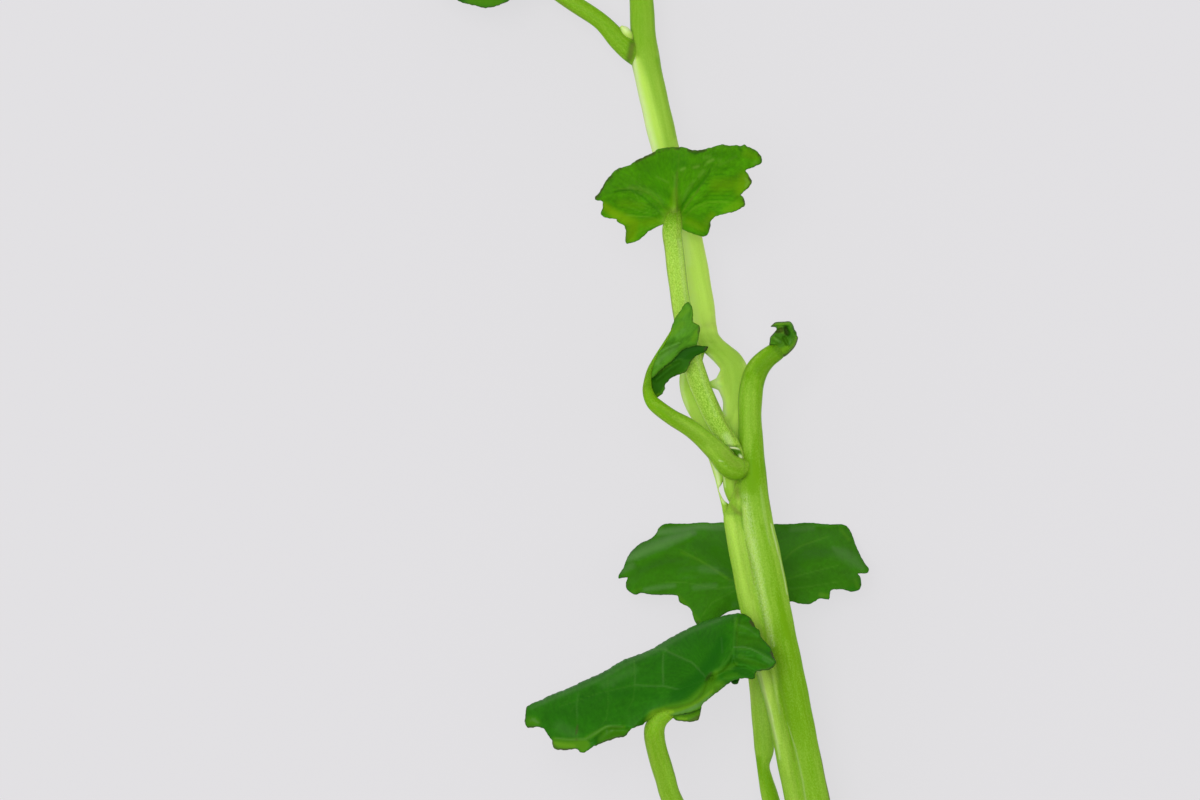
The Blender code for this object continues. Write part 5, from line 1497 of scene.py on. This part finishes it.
FRONT_LEAF_BASE_LOBE = {
    "hub": (3.5, -30.9, 18.6), "tilt": (0.2, -0.5), "swell": 0.3, "edge": 0.7,
    "rim": (
        (2, -31.2), (2.12, -31.6), (2.45, -31.85), (2.82, -31.99), (3.84, -32.09), (4.6, -32.01),
        (4.86, -31.8), (4.95, -31.5), (5.05, -31.1), (5.1, -30.6), (4.4, -30.3), (3.2, -30.7),
    ),
    "paints": {
        "warm": ((1, ((2, -31.2, 0.8), (3.4, -31.6, 0.9), (4.9, -31.4, 0.9))),),
        "bright": ((0.5, ((2.8, -31.75, 0.2), (3.6, -31.8, 0.2))),),
        "light": ((0.5, ((2.6, -31.35, 0.14), (3.6, -31.3, 0.16), (4.4, -31, 0.12))),),
        "dark": ((0.25, ((3.9, -31.6, 0.2), (4.6, -31.3, 0.2))),),
        "brown": ((0.6, ((4.55, -31.9, 0.2), (4.85, -31.5, 0.18), (3.8, -32.05, 0.15))),),
    },
}
FRONT_LEAF_BACK_TIP = {
    "hub": (8.5, -28, 17.6), "tilt": (0.2, -0.5), "swell": 0, "edge": 0.3,
    "rim": (
        (8.05, -28), (8.15, -28.22), (8.42, -28.32), (8.64, -28.25), (8.8, -28), (8.9, -27.7),
        (8.3, -27.6),
    ),
    "paints": {
        "dark": ((0.9, ((8.5, -28.1, 0.8),)),),
    },
}
FOLDED_UPPER_PAINTS = {
    # Painted highlight along the fold.
    "light": (
        (0.45, ((0.7, 3.6, 0.3), (1.4, 4.4, 0.4), (2.2, 5, 0.4), (2.7, 5.4, 0.25))),
        (0.45, ((1.1, 4.9, 0.1), (2.2, 5.4, 0.12), (2.9, 5.7, 0.1))),
        (0.2, ((2.6, 6.4, 0.3), (3.4, 7, 0.3))),
    ),
    # Partly painted shade above the edge of the fold, and partly darker places of the leaf's own.
    "dark": (
        (0.45, ((1.6, 5.6, 0.25), (2.4, 6.1, 0.35), (1.9, 5.2, 0.15))),
        (0.5, ((2.6, 4.6, 0.15), (3.1, 5.05, 0.18), (3.9, 5.4, 0.18), (4.5, 5.55, 0.1))),
        (0.3, ((3.2, 5.9, 0.3), (4.2, 6.6, 0.25), (4.7, 7.3, 0.2))),
        (0.35, ((3.9, 8.3, 0.2), (4.1, 9.2, 0.2), (3.8, 9.7, 0.2))),
    ),
    "warm": (
        (0.35, ((3, 8.4, 0.5), (3.8, 9, 0.4))), (0.3, ((2.2, 6.6, 0.5), (3.2, 7.6, 0.5))),
        (0.45, ((4.3, 6, 0.4), (4.6, 6.8, 0.35))),
    ),
    "brown": ((0.6, ((4.9, 7.2, 0.2), (4.8, 6.7, 0.16))), (0.4, ((3.8, 9.7, 0.14),))),
}
FOLDED_UPPER = {
    "hub": (1.2, 3.6, 17.35), "tilt": (0.1, 0.06), "swell": 0.3, "relief": 0.4, "edge": 0.3,
    "waves": ((6, 0.1, 0.3),), "branching": (1.1, 1.2),
    "rim": (
        (0.28, 2.25), (0.98, 2.86), (1.75, 3.53), (2.51, 4.2), (3.08, 4.87), (3.85, 5.25),
        (4.61, 5.44), (4.75, 5.92), (4.88, 6.39), (4.99, 7.16), (4.85, 7.45), (4.61, 7.64),
        (4.23, 7.83), (4.28, 8.3), (4.28, 8.88), (4.04, 9.55), (3.8, 9.78), (3.46, 9.6),
        (2.99, 8.88), (2.41, 8.02), (2, 6.87), (1.3, 5.63), (0.5, 4.29), (0, 3.05), (-0.1, 2.3),
    ),
    "veins": (
        ((0.3, 3.2, 0.08), (1.08, 4.96, 0.1), (2.3, 5.45, 0.09), (3.4, 5.9, 0.05)),
        ((1, 5, 0.07), (2.2, 6.4, 0.07), (3.6, 8.6, 0.05)),
        ((1.8, 6.6, 0.06), (3, 7, 0.06), (4.4, 7.1, 0.04)),
        ((0.2, 2.6, 0.08), (1.6, 4, 0.07), (2.8, 5, 0.05)),
    ),
    "lifts": (
        (0.35, ((0.98, 4.7, 0.3), (2, 5.4, 0.4), (2.9, 5.7, 0.3))),
        (-0.2, ((1.3, 3.9, 0.4), (2.6, 5, 0.4))),
    ),
    "paints": FOLDED_UPPER_PAINTS,
}
FOLDED_LOWER_PAINTS = {
    # Mostly painted shade: the lower half of the fold, turned from the light, painted dark.
    "dark": (
        (1, ((-0.2, 2.8), (3.2, 5.5), (6.2, 5.4), (5.6, 4.7), (4, 3.9), (2.8, 4), (1.4, 3),
            (0.4, 1.8)), 0.2),
        (0.85, ((0.2, 1.2), (0.2, 2.6), (2.6, 4.2), (4.4, 4.6), (4.2, 3.6), (2.8, 2.4), (1.4, 1.2),
            (0.8, 0.2)), 0.3),
        (0.8, ((0.5, 1.6, 0.4), (1.2, 1.9, 0.4), (2.4, 2.6, 0.3), (3.5, 3, 0.25))),
        (0.6, ((0.6, 0.9, 0.3), (1.2, 1.2, 0.25))),
    ),
    "warm": (
        (0.35, ((0.2, 2.3, 0.12), (0.9, 2.8, 0.16), (1.6, 3.3, 0.12), (2.1, 3.5, 0.08))),
        (0.5, ((0.5, 0.35, 0.25), (0.9, 0.6, 0.2))),
    ),
    "light": ((0.12, ((0.4, 2.5, 0.1), (1.4, 3.2, 0.1), (2.6, 4, 0.06))),),
    "brown": (
        (0.75, ((5.5, 5.1, 0.2), (5.75, 5.25, 0.16))), (0.6, ((4.05, 3.75, 0.14),)),
        (0.5, ((1.5, 1.2, 0.14),)), (0.4, ((3.6, 2.9, 0.12), (3.2, 2.65, 0.1))),
    ),
}
FOLDED_LOWER = {
    "hub": (1.2, 3.6, 16.85), "tilt": (0.1, 0.1), "swell": 0.2, "relief": 0.4, "edge": 0.35,
    "waves": ((6, 0.1, 0.9),), "branching": (1.1, 1),
    "rim": (
        (0.55, 0.1), (0.79, 0.285), (1.08, 0.476), (1.36, 0.86), (1.51, 1.14), (1.46, 1.43),
        (1.65, 1.72), (2.13, 2.19), (2.7, 2.48), (3.46, 2.72), (3.7, 3.05), (3.96, 3.5),
        (4.12, 3.9), (4.42, 4.25), (4.99, 4.58), (5.56, 4.87), (5.83, 5.25), (5.6, 5.36),
        (5.18, 5.4), (4.61, 5.5), (3.85, 5.7), (3, 5.3), (2.2, 4.6), (1.2, 3.6), (0.2, 2.7),
        (-0.1, 1.9), (0.1, 0.9),
    ),
    "veins": (
        ((0.3, 1.6, 0.08), (1.5, 2.7, 0.08), (2.9, 3.5, 0.07), (4, 4.6, 0.05)),
        ((3, 4.1, 0.08), (4.4, 4.8, 0.07), (5.6, 5.1, 0.05)),
    ),
    "lifts": ((0.3, ((0.6, 2, 0.25), (1.9, 3.1, 0.35), (2.9, 3.7, 0.3))),),
    "paints": FOLDED_LOWER_PAINTS,
}
TOP_LEAF = {
    "hub": (-14.6, 45, 4.8), "tilt": (0, -0.8), "swell": 0.8, "relief": -0.5, "edge": 0.4,
    "waves": ((5, 0.3, 0.8), (10, 0.15, 0.2)), "branching": (1.5, 2),
    "rim": (
        (-13.2, 40.6), (-14.2, 40), (-15.3, 39.5), (-16.5, 39.3), (-17.8, 39.6), (-19, 39.9),
        (-20.2, 40.9), (-21.6, 41.6), (-21.9, 42.9), (-22.7, 44.1), (-22, 45.3), (-22, 46.7),
        (-20.6, 47.6), (-19.9, 48.8), (-18.4, 49.2), (-17.2, 50.1), (-15.7, 49.9), (-14.2, 50.5),
        (-12.8, 49.9), (-11.2, 50), (-10.3, 48.8), (-9, 48.1), (-8.8, 46.8), (-8, 45.6),
        (-8.6, 44.4), (-8.5, 43.1), (-9.7, 42.5), (-10.5, 41.6), (-12, 41.7),
    ),
    "veins": tuple(
        (
            (-14.4, 44.9, 0.2),
            (-14.6 + 3.2 * math.cos(a), 45 + 2.6 * math.sin(a), 0.12),
            (-14.8 + 6.3 * math.cos(a + 0.08), 45 + 4.6 * math.sin(a + 0.08), 0.07),
        )
        for a in (0.35, 1.25, 2.1, 2.95, 3.8, 4.7)
    ),
    "paints": {
        "warm": ((0.6, ((-15, 39.8, 0.8), (-18, 40, 0.8))), (0.4, ((-21.5, 45, 1),))),
        "dark": ((0.4, ((-16, 45.5, 3),)),),
        "light": ((0.3, ((-12, 48.5, 1.5),)),),
        "brown": ((0.5, ((-22.4, 44.1, 0.4),)),),
    },
}


def toothed_round(centre, radii, teeth, depth):
    """The outline of a small round blade with shallow rounded teeth, three points to a tooth."""
    outline = []
    for i in range(3 * teeth):
        angle = 2 * math.pi * i / (3 * teeth)
        tooth = depth * math.cos(teeth * angle)
        x = centre[0] + (radii[0] + tooth) * math.cos(angle)
        outline.append((x, centre[1] + (radii[1] + tooth) * math.sin(angle)))
    return outline


TIP_LEAF = {
    "hub": (3.9, 55, 2.7), "tilt": (0, -0.6), "swell": 0.4, "relief": -0.5, "edge": 0.4,
    "waves": ((4, 0.15, 0.5),), "branching": (1.1, 1.3),
    "rim": toothed_round((4.3, 55.6), (4.3, 3.4), 9, 0.35),
    "veins": tuple(
        (
            (3.5, 54.6, 0.16),
            (4 + 1.8 * math.cos(a), 55.3 + 1.4 * math.sin(a), 0.1),
            (4.2 + 3.6 * math.cos(a), 55.5 + 2.8 * math.sin(a), 0.06),
        )
        for a in (-0.3, 0.7, 1.7, 2.7)
    ),
    "paints": {"warm": ((0.5, ((6.5, 54, 1.2),)),), "light": ((0.3, ((3, 57, 1),)),)},
}
CURLED_LEAF_PAINTS = {
    "brown": (
        (0.55, ((12.65, 6.8, 0.3), (13.1, 7, 0.5))), (0.42, ((13.5, 7.2, 0.3), (13.6, 6.7, 0.45))),
        (0.6, ((14.75, 6.2, 0.1), (14.5, 5.4, 0.12), (13.9, 4.75, 0.14), (13.3, 4.35, 0.18),
            (12.9, 4.15, 0.14))),
        (0.5, ((11.95, 5.5, 0.14), (12, 6.2, 0.1), (12.55, 6.9, 0.1))),
        (0.6, ((12.1, 7.35, 0.12), (12.6, 7.78, 0.08), (13.9, 7.85, 0.1))),
        (0.6, ((13.4, 4.5, 0.22), (13.15, 4.35, 0.18))), (0.4, ((12.1, 7.35, 0.14),)),
        (0.4, ((12, 5.6, 0.12), (12, 6.1, 0.08))),
    ),
    # Partly painted shade in the hollows of the curl.
    "dark": (
        (1, ((13.55, 7.3, 0.5), (13.8, 6.5, 0.7))), (0.7, ((13.3, 6, 1.6),)),
        (0.7, ((14.3, 7.2, 0.25), (14.5, 6.6, 0.2))), (0.55, ((12.9, 6, 0.6), (13.9, 6, 0.5))),
        (0.5, ((13.2, 5.2, 0.4), (13.9, 5.4, 0.3))),
        (0.75, ((11.95, 5.5, 0.15), (12.5, 5.45, 0.2), (12.75, 4.85, 0.2))),
    ),
    "warm": (
        (0.5, ((12.9, 7.35, 0.25), (13.2, 6.75, 0.25))),
        (0.7, ((12.4, 7.6, 0.2), (13.2, 7.65, 0.2), (13.9, 7.65, 0.2))),
        (0.8, ((14.6, 6.2, 0.22), (14.45, 5.6, 0.3), (13.9, 4.95, 0.3), (13.2, 4.6, 0.3))),
        (0.9, ((12.6, 4.5, 0.7), (13.1, 4.9, 0.6), (13.7, 5.2, 0.5))),
        (0.35, ((12.3, 6.2, 0.3), (12.6, 6, 0.3))), (0.25, ((13.3, 5.4, 1.6),)),
    ),
    "light": (
        (0.3, ((12.5, 6.15, 0.25), (13, 5.8, 0.25))), (0.3, ((14.1, 6, 0.2), (13.9, 5.6, 0.2))),
    ),
}
CURLED_LEAF = {
    "hub": (13.3, 6, 13.9), "tilt": (0, 0.1), "depth": 0.75,
    "rim": (
        (12.05, 7.36), (12.27, 7.59), (12.5, 7.77), (12.86, 7.82), (13.41, 7.84), (13.95, 7.86),
        (14.27, 7.55), (14.45, 7.05), (14.64, 6.77), (14.68, 6.45), (14.79, 6.27), (14.73, 5.91),
        (14.5, 5.36), (14.14, 4.91), (13.59, 4.41), (13.23, 4.27), (12.86, 4.09), (12.41, 4.6),
        (12.14, 5.2), (11.91, 5.5), (11.95, 5.86), (12, 6.27), (12.23, 6.55), (12.5, 6.86),
        (12.64, 7.09), (12.5, 7.27), (12.14, 7.3),
    ),
    "veins": (
        ((12.5, 4.9, 0.08), (13.2, 5.4, 0.08), (13.9, 6.4, 0.06)),
        ((12.4, 5.6, 0.07), (12.6, 6.2, 0.06)),
    ),
    "lifts": (
        (-0.4, ((12.75, 6.95, 0.28), (13.1, 7, 0.3))),
        (-0.45, ((13.55, 7.1, 0.3), (13.75, 6.7, 0.38))),
        (0.25, ((12.3, 7.5, 0.2), (13.2, 7.6, 0.25), (14, 7.5, 0.25), (14.3, 6.9, 0.2))),
        (0.3, ((12.3, 6.3, 0.35), (12.8, 5.9, 0.45))),
        (-0.25, ((12.1, 5.45, 0.15), (12.6, 5.35, 0.2), (12.75, 4.8, 0.2))),
        (0.25, ((14.3, 6.2, 0.25), (14.3, 5.6, 0.3), (13.8, 5, 0.25))),
        (-0.3, ((13.4, 6.2, 0.3), (13.7, 5.6, 0.25))),
    ),
    "paints": CURLED_LEAF_PAINTS,
}


class CRESS_OT_main_stem(bpy.types.Operator):
    """Build the ribbed main stem with its fused side ridge and its cut end"""

    bl_idname = "cress.main_stem"
    bl_label = "Main Stem"

    def execute(self, context):
        tones = (
            (-60, 0.25), (-48, 0.22), (-40, 0.21), (-35, 0.16), (-32, 0.08), (-26, 0.05),
            (-23, 0.11), (-20, 0.22), (-17, 0.27), (-13, 0.33), (-11, 0.26), (-9, 0.15), (-7, 0),
            (-4, 0.12), (0, 0.13), (2, 0.08), (5, 0),
        )
        make_stem(
            "main_stem", MAIN_STEM, tones, MAIN_STEM_PAINTS, skin("main_stem_skin"),
            "main_stem_green", ribs=(11, 0.008), sides=88, ridge=SIDE_RIDGE, cut_end=True,
        )
        return {"FINISHED"}


class CRESS_OT_rear_branch(bpy.types.Operator):
    """Build the rear branch: its bowed lower length, its upper length and the stalk beside it"""

    bl_idname = "cress.rear_branch"
    bl_label = "Rear Branch"

    def execute(self, context):
        material = skin("rear_stem_skin")
        stems = (
            ("rear_stem_lower", REAR_STEM_LOWER, LOWER_REAR_PAINTS, BOW_WEB,
             ((-12, 0.25), (-10, 0.25), (-8, 0.45), (-4, 0.65), (0, 0.72), (3, 0.56), (5, 0.52),
              (6, 0.62), (6.5, 0.66), (6.9, 0.9), (8, 1))),
            ("rear_stem_upper", REAR_STEM_UPPER, UPPER_STEM_PAINTS, None,
             ((5.8, 0.62), (6.5, 0.66), (6.9, 0.9), (9, 1), (12, 0.95), (18, 0.95), (26, 0.52),
              (32, 0.42), (36, 0.2), (40, 0.18), (60, 0.1))),
            ("rear_side_stalk", REAR_SIDE_STALK, SIDE_STALK_PAINTS, None,
             ((-11, 0.3), (-10, 0.4), (-8, 0.65), (-2, 0.66), (3, 0.58), (6, 0.48))),
        )
        for name, stations, paints, ridge, tones in stems:
            make_stem(name, stations, tones, paints, material, "rear_stem_green", ridge=ridge)
        return {"FINISHED"}


class CRESS_OT_stalks(bpy.types.Operator):
    """Build the six leaf stalks"""

    bl_idname = "cress.stalks"
    bl_label = "Leaf Stalks"

    def execute(self, context):
        plain = skin("stalk_skin")
        dotted = skin("dotted_stalk_skin")
        stalks = (
            ("upper_leaf_stalk", UPPER_STALK, UPPER_STALK_PAINTS, dotted,
             ((-5, 0.5), (0, 0.5), (6, 0.62), (14, 0.7), (16.2, 0.6), (17.2, 0.4), (18.2, 0.1),
              (19.5, 0))),
            ("folded_leaf_stalk", FOLDED_STALK, FOLDED_STALK_PAINTS, plain,
             ((-8, 0), (-7, 0.12), (-5, 0.29), (-3, 0.22), (0, 0), (2, 0), (8, 0))),
            # The tone rising from y -34 to -27 is painted light that lifts the front leaf's shadow
            # off this stalk.
            ("rear_leaf_stalk", REAR_LEAF_STALK, STRIP_PAINTS, plain,
             ((-56, 0.25), (-37, 0.28), (-34, 0.34), (-31, 0.5), (-29, 0.7), (-27, 0.8),
              (-18, 0.3))),
            ("front_leaf_stalk", FRONT_LEAF_STALK, FRONT_STALK_PAINTS, plain,
             ((-58, 0.2), (-40, 0.2), (-35, 0.15), (-32, 0.15), (-29, 0.05))),
            ("top_leaf_stalk", TOP_LEAF_STALK, TOP_STALK_PAINTS, plain,
             ((34, 0.1), (40, 0.1), (45, 0))),
            ("tip_leaf_stalk", TIP_LEAF_STALK, {}, plain, ((49, 0.2), (55, 0.1))),
        )
        for name, stations, paints, material, tones in stalks:
            looks = material, "stalk_green"
            make_stem(name, stations, tones, paints, *looks, ribs=(9, 0.012), sides=40)
        return {"FINISHED"}


class CRESS_OT_upper_leaf(bpy.types.Operator):
    """Build the leaf that shows its veined lower side"""

    bl_idname = "cress.upper_leaf"
    bl_label = "Upper Leaf"

    def execute(self, context):
        make_blade("upper_leaf", (UPPER_LEAF,), skin("upper_leaf_skin"), "leaf_light")
        return {"FINISHED"}


class CRESS_OT_dark_leaves(bpy.types.Operator):
    """Build the old dark leaves: the rear, front and top ones"""

    bl_idname = "cress.dark_leaves"
    bl_label = "Dark Leaves"

    def execute(self, context):
        looks = skin("dark_leaf_skin"), "leaf_dark"
        make_blade("rear_leaf", (REAR_LEAF,), *looks)
        make_blade("front_leaf", (FRONT_LEAF, FRONT_LEAF_BASE_LOBE, FRONT_LEAF_BACK_TIP), *looks)
        make_blade("top_leaf", (TOP_LEAF,), *looks)
        return {"FINISHED"}


class CRESS_OT_young_leaves(bpy.types.Operator):
    """Build the folded leaf, the curled leaf and the small leaf near the tip"""

    bl_idname = "cress.young_leaves"
    bl_label = "Young Leaves"

    def execute(self, context):
        looks = skin("young_leaf_skin"), "leaf_young"
        make_blade("folded_leaf", (FOLDED_UPPER, FOLDED_LOWER), *looks)
        make_blade("tip_leaf", (TIP_LEAF,), *looks)
        make_puffed("curled_leaf", CURLED_LEAF, *looks)
        return {"FINISHED"}


class CRESS_OT_buds(bpy.types.Operator):
    """Build the closed tip bud and the two small buds in the forks"""

    bl_idname = "cress.buds"
    bl_label = "Buds"

    def execute(self, context):
        material = skin("stalk_skin")
        tip_paints = {"dark": ((0.7, ((-3.2, 56.6, 0.3), (-3.8, 58, 0.2), (-4.1, 59.4, 0.15))),)}
        rear_paints = {"light": ((0.8, ((-2.3, 37.3, 0.9),)),)}
        buds = (
            ("tip_bud", TIP_BUD, ((55, 0.1), (60, 0)), tip_paints, "leaf_young", 0.08, 40),
            ("front_axil_bud", FRONT_AXIL_BUD, ((-6, 0), (-4, 0)), FRONT_AXIL_PAINTS,
             "leaf_young", 0.05, 24),
            ("rear_axil_bud", REAR_AXIL_BUD, ((36, 0.9), (38, 1)), rear_paints,
             "stalk_green", 0.05, 24),
        )
        for name, stations, tones, paints, slot, depth, sides in buds:
            make_stem(name, stations, tones, paints, material, slot, ribs=(3, depth), sides=sides)
        return {"FINISHED"}


class CRESS_OT_stage(bpy.types.Operator):
    """Build the pale floor, the soft lights and the camera that looks down"""

    bl_idname = "cress.stage"
    bl_label = "Stage"

    def execute(self, context):
        scene = context.scene
        bpy.ops.mesh.primitive_plane_add(size=3.0, location=(0, 0, 0))
        floor = context.active_object
        floor.name = "floor"
        material, tree, shader = new_material("floor_paper", 0.9, 0.0)
        paint = colours().floor
        grain = new_node(tree, "ShaderNodeTexNoise", Scale=30.0, Detail=2.0)
        share = spread(tree, grain.outputs["Fac"], 0.3, 0.7)
        paper = mixed(tree, share, [c * 0.995 for c in paint], paint)
        feed(tree, shader.inputs["Base Color"], paper)
        shader.inputs["Emission Color"].default_value = (*colours().floor_glow, 1.0)
        shader.inputs["Emission Strength"].default_value = 1.0
        floor.data.materials.append(material)
        lights = (
            ("left_softbox", (-1.1, 0.4, 1.2), 1.6, 5.0),
            ("right_softbox", (1.2, -0.3, 1.4), 1.2, 1.5),
            ("top_softbox", (-0.35, 0.25, 2.9), 1.2, 39.0),
        )
        for name, place, size, power in lights:
            data = bpy.data.lights.new(name, "AREA")
            data.size = size
            data.energy = power
            lamp = bpy.data.objects.new(name, data)
            lamp.location = place
            lamp.rotation_euler = (-Vector(place)).to_track_quat("-Z", "Y").to_euler()
            scene.collection.objects.link(lamp)
        world = bpy.data.worlds.new("studio")
        world.use_nodes = True
        background = world.node_tree.nodes["Background"].inputs
        background["Color"].default_value = (1.0, 0.995, 1.0, 1.0)
        background["Strength"].default_value = 0.62
        scene.world = world
        lens = bpy.data.cameras.new("camera")
        lens.lens = 750.0
        lens.sensor_width = 36.0
        lens.clip_start = 0.1
        lens.clip_end = 20.0
        camera = bpy.data.objects.new("camera", lens)
        camera.location = (-0.005, 0.0, 2.512)
        scene.collection.objects.link(camera)
        scene.camera = camera
        scene.view_settings.view_transform = "Standard"
        return {"FINISHED"}


OPERATORS = (
    CRESS_OT_main_stem,
    CRESS_OT_rear_branch,
    CRESS_OT_stalks,
    CRESS_OT_upper_leaf,
    CRESS_OT_dark_leaves,
    CRESS_OT_young_leaves,
    CRESS_OT_buds,
    CRESS_OT_stage,
)


class CRESS_PT_sprig(bpy.types.Panel):
    """Lists the pieces of the sprig, its sizes and its colours"""

    bl_idname = "CRESS_PT_sprig"
    bl_label = "Cress Sprig"
    bl_space_type = "VIEW_3D"
    bl_region_type = "UI"
    bl_category = "Cress"

    def draw(self, context):
        for operator in OPERATORS:
            self.layout.operator(operator.bl_idname)
        for group in (context.scene.cress_sizes, context.scene.cress_colours):
            for name in group.bl_rna.properties.keys():
                if name not in ("rna_type", "name"):
                    self.layout.prop(group, name)


CLASSES = (CressSizes, CressColours, *OPERATORS, CRESS_PT_sprig)


def register():
    for cls in CLASSES:
        bpy.utils.register_class(cls)
    bpy.types.Scene.cress_sizes = PointerProperty(type=CressSizes)
    bpy.types.Scene.cress_colours = PointerProperty(type=CressColours)


def unregister():
    del bpy.types.Scene.cress_colours
    del bpy.types.Scene.cress_sizes
    for cls in reversed(CLASSES):
        bpy.utils.unregister_class(cls)


def main():
    register()
    bpy.ops.cress.main_stem()
    bpy.ops.cress.rear_branch()
    bpy.ops.cress.stalks()
    bpy.ops.cress.upper_leaf()
    bpy.ops.cress.dark_leaves()
    bpy.ops.cress.young_leaves()
    bpy.ops.cress.buds()
    bpy.ops.cress.stage()


if __name__ == "__main__":
    main()
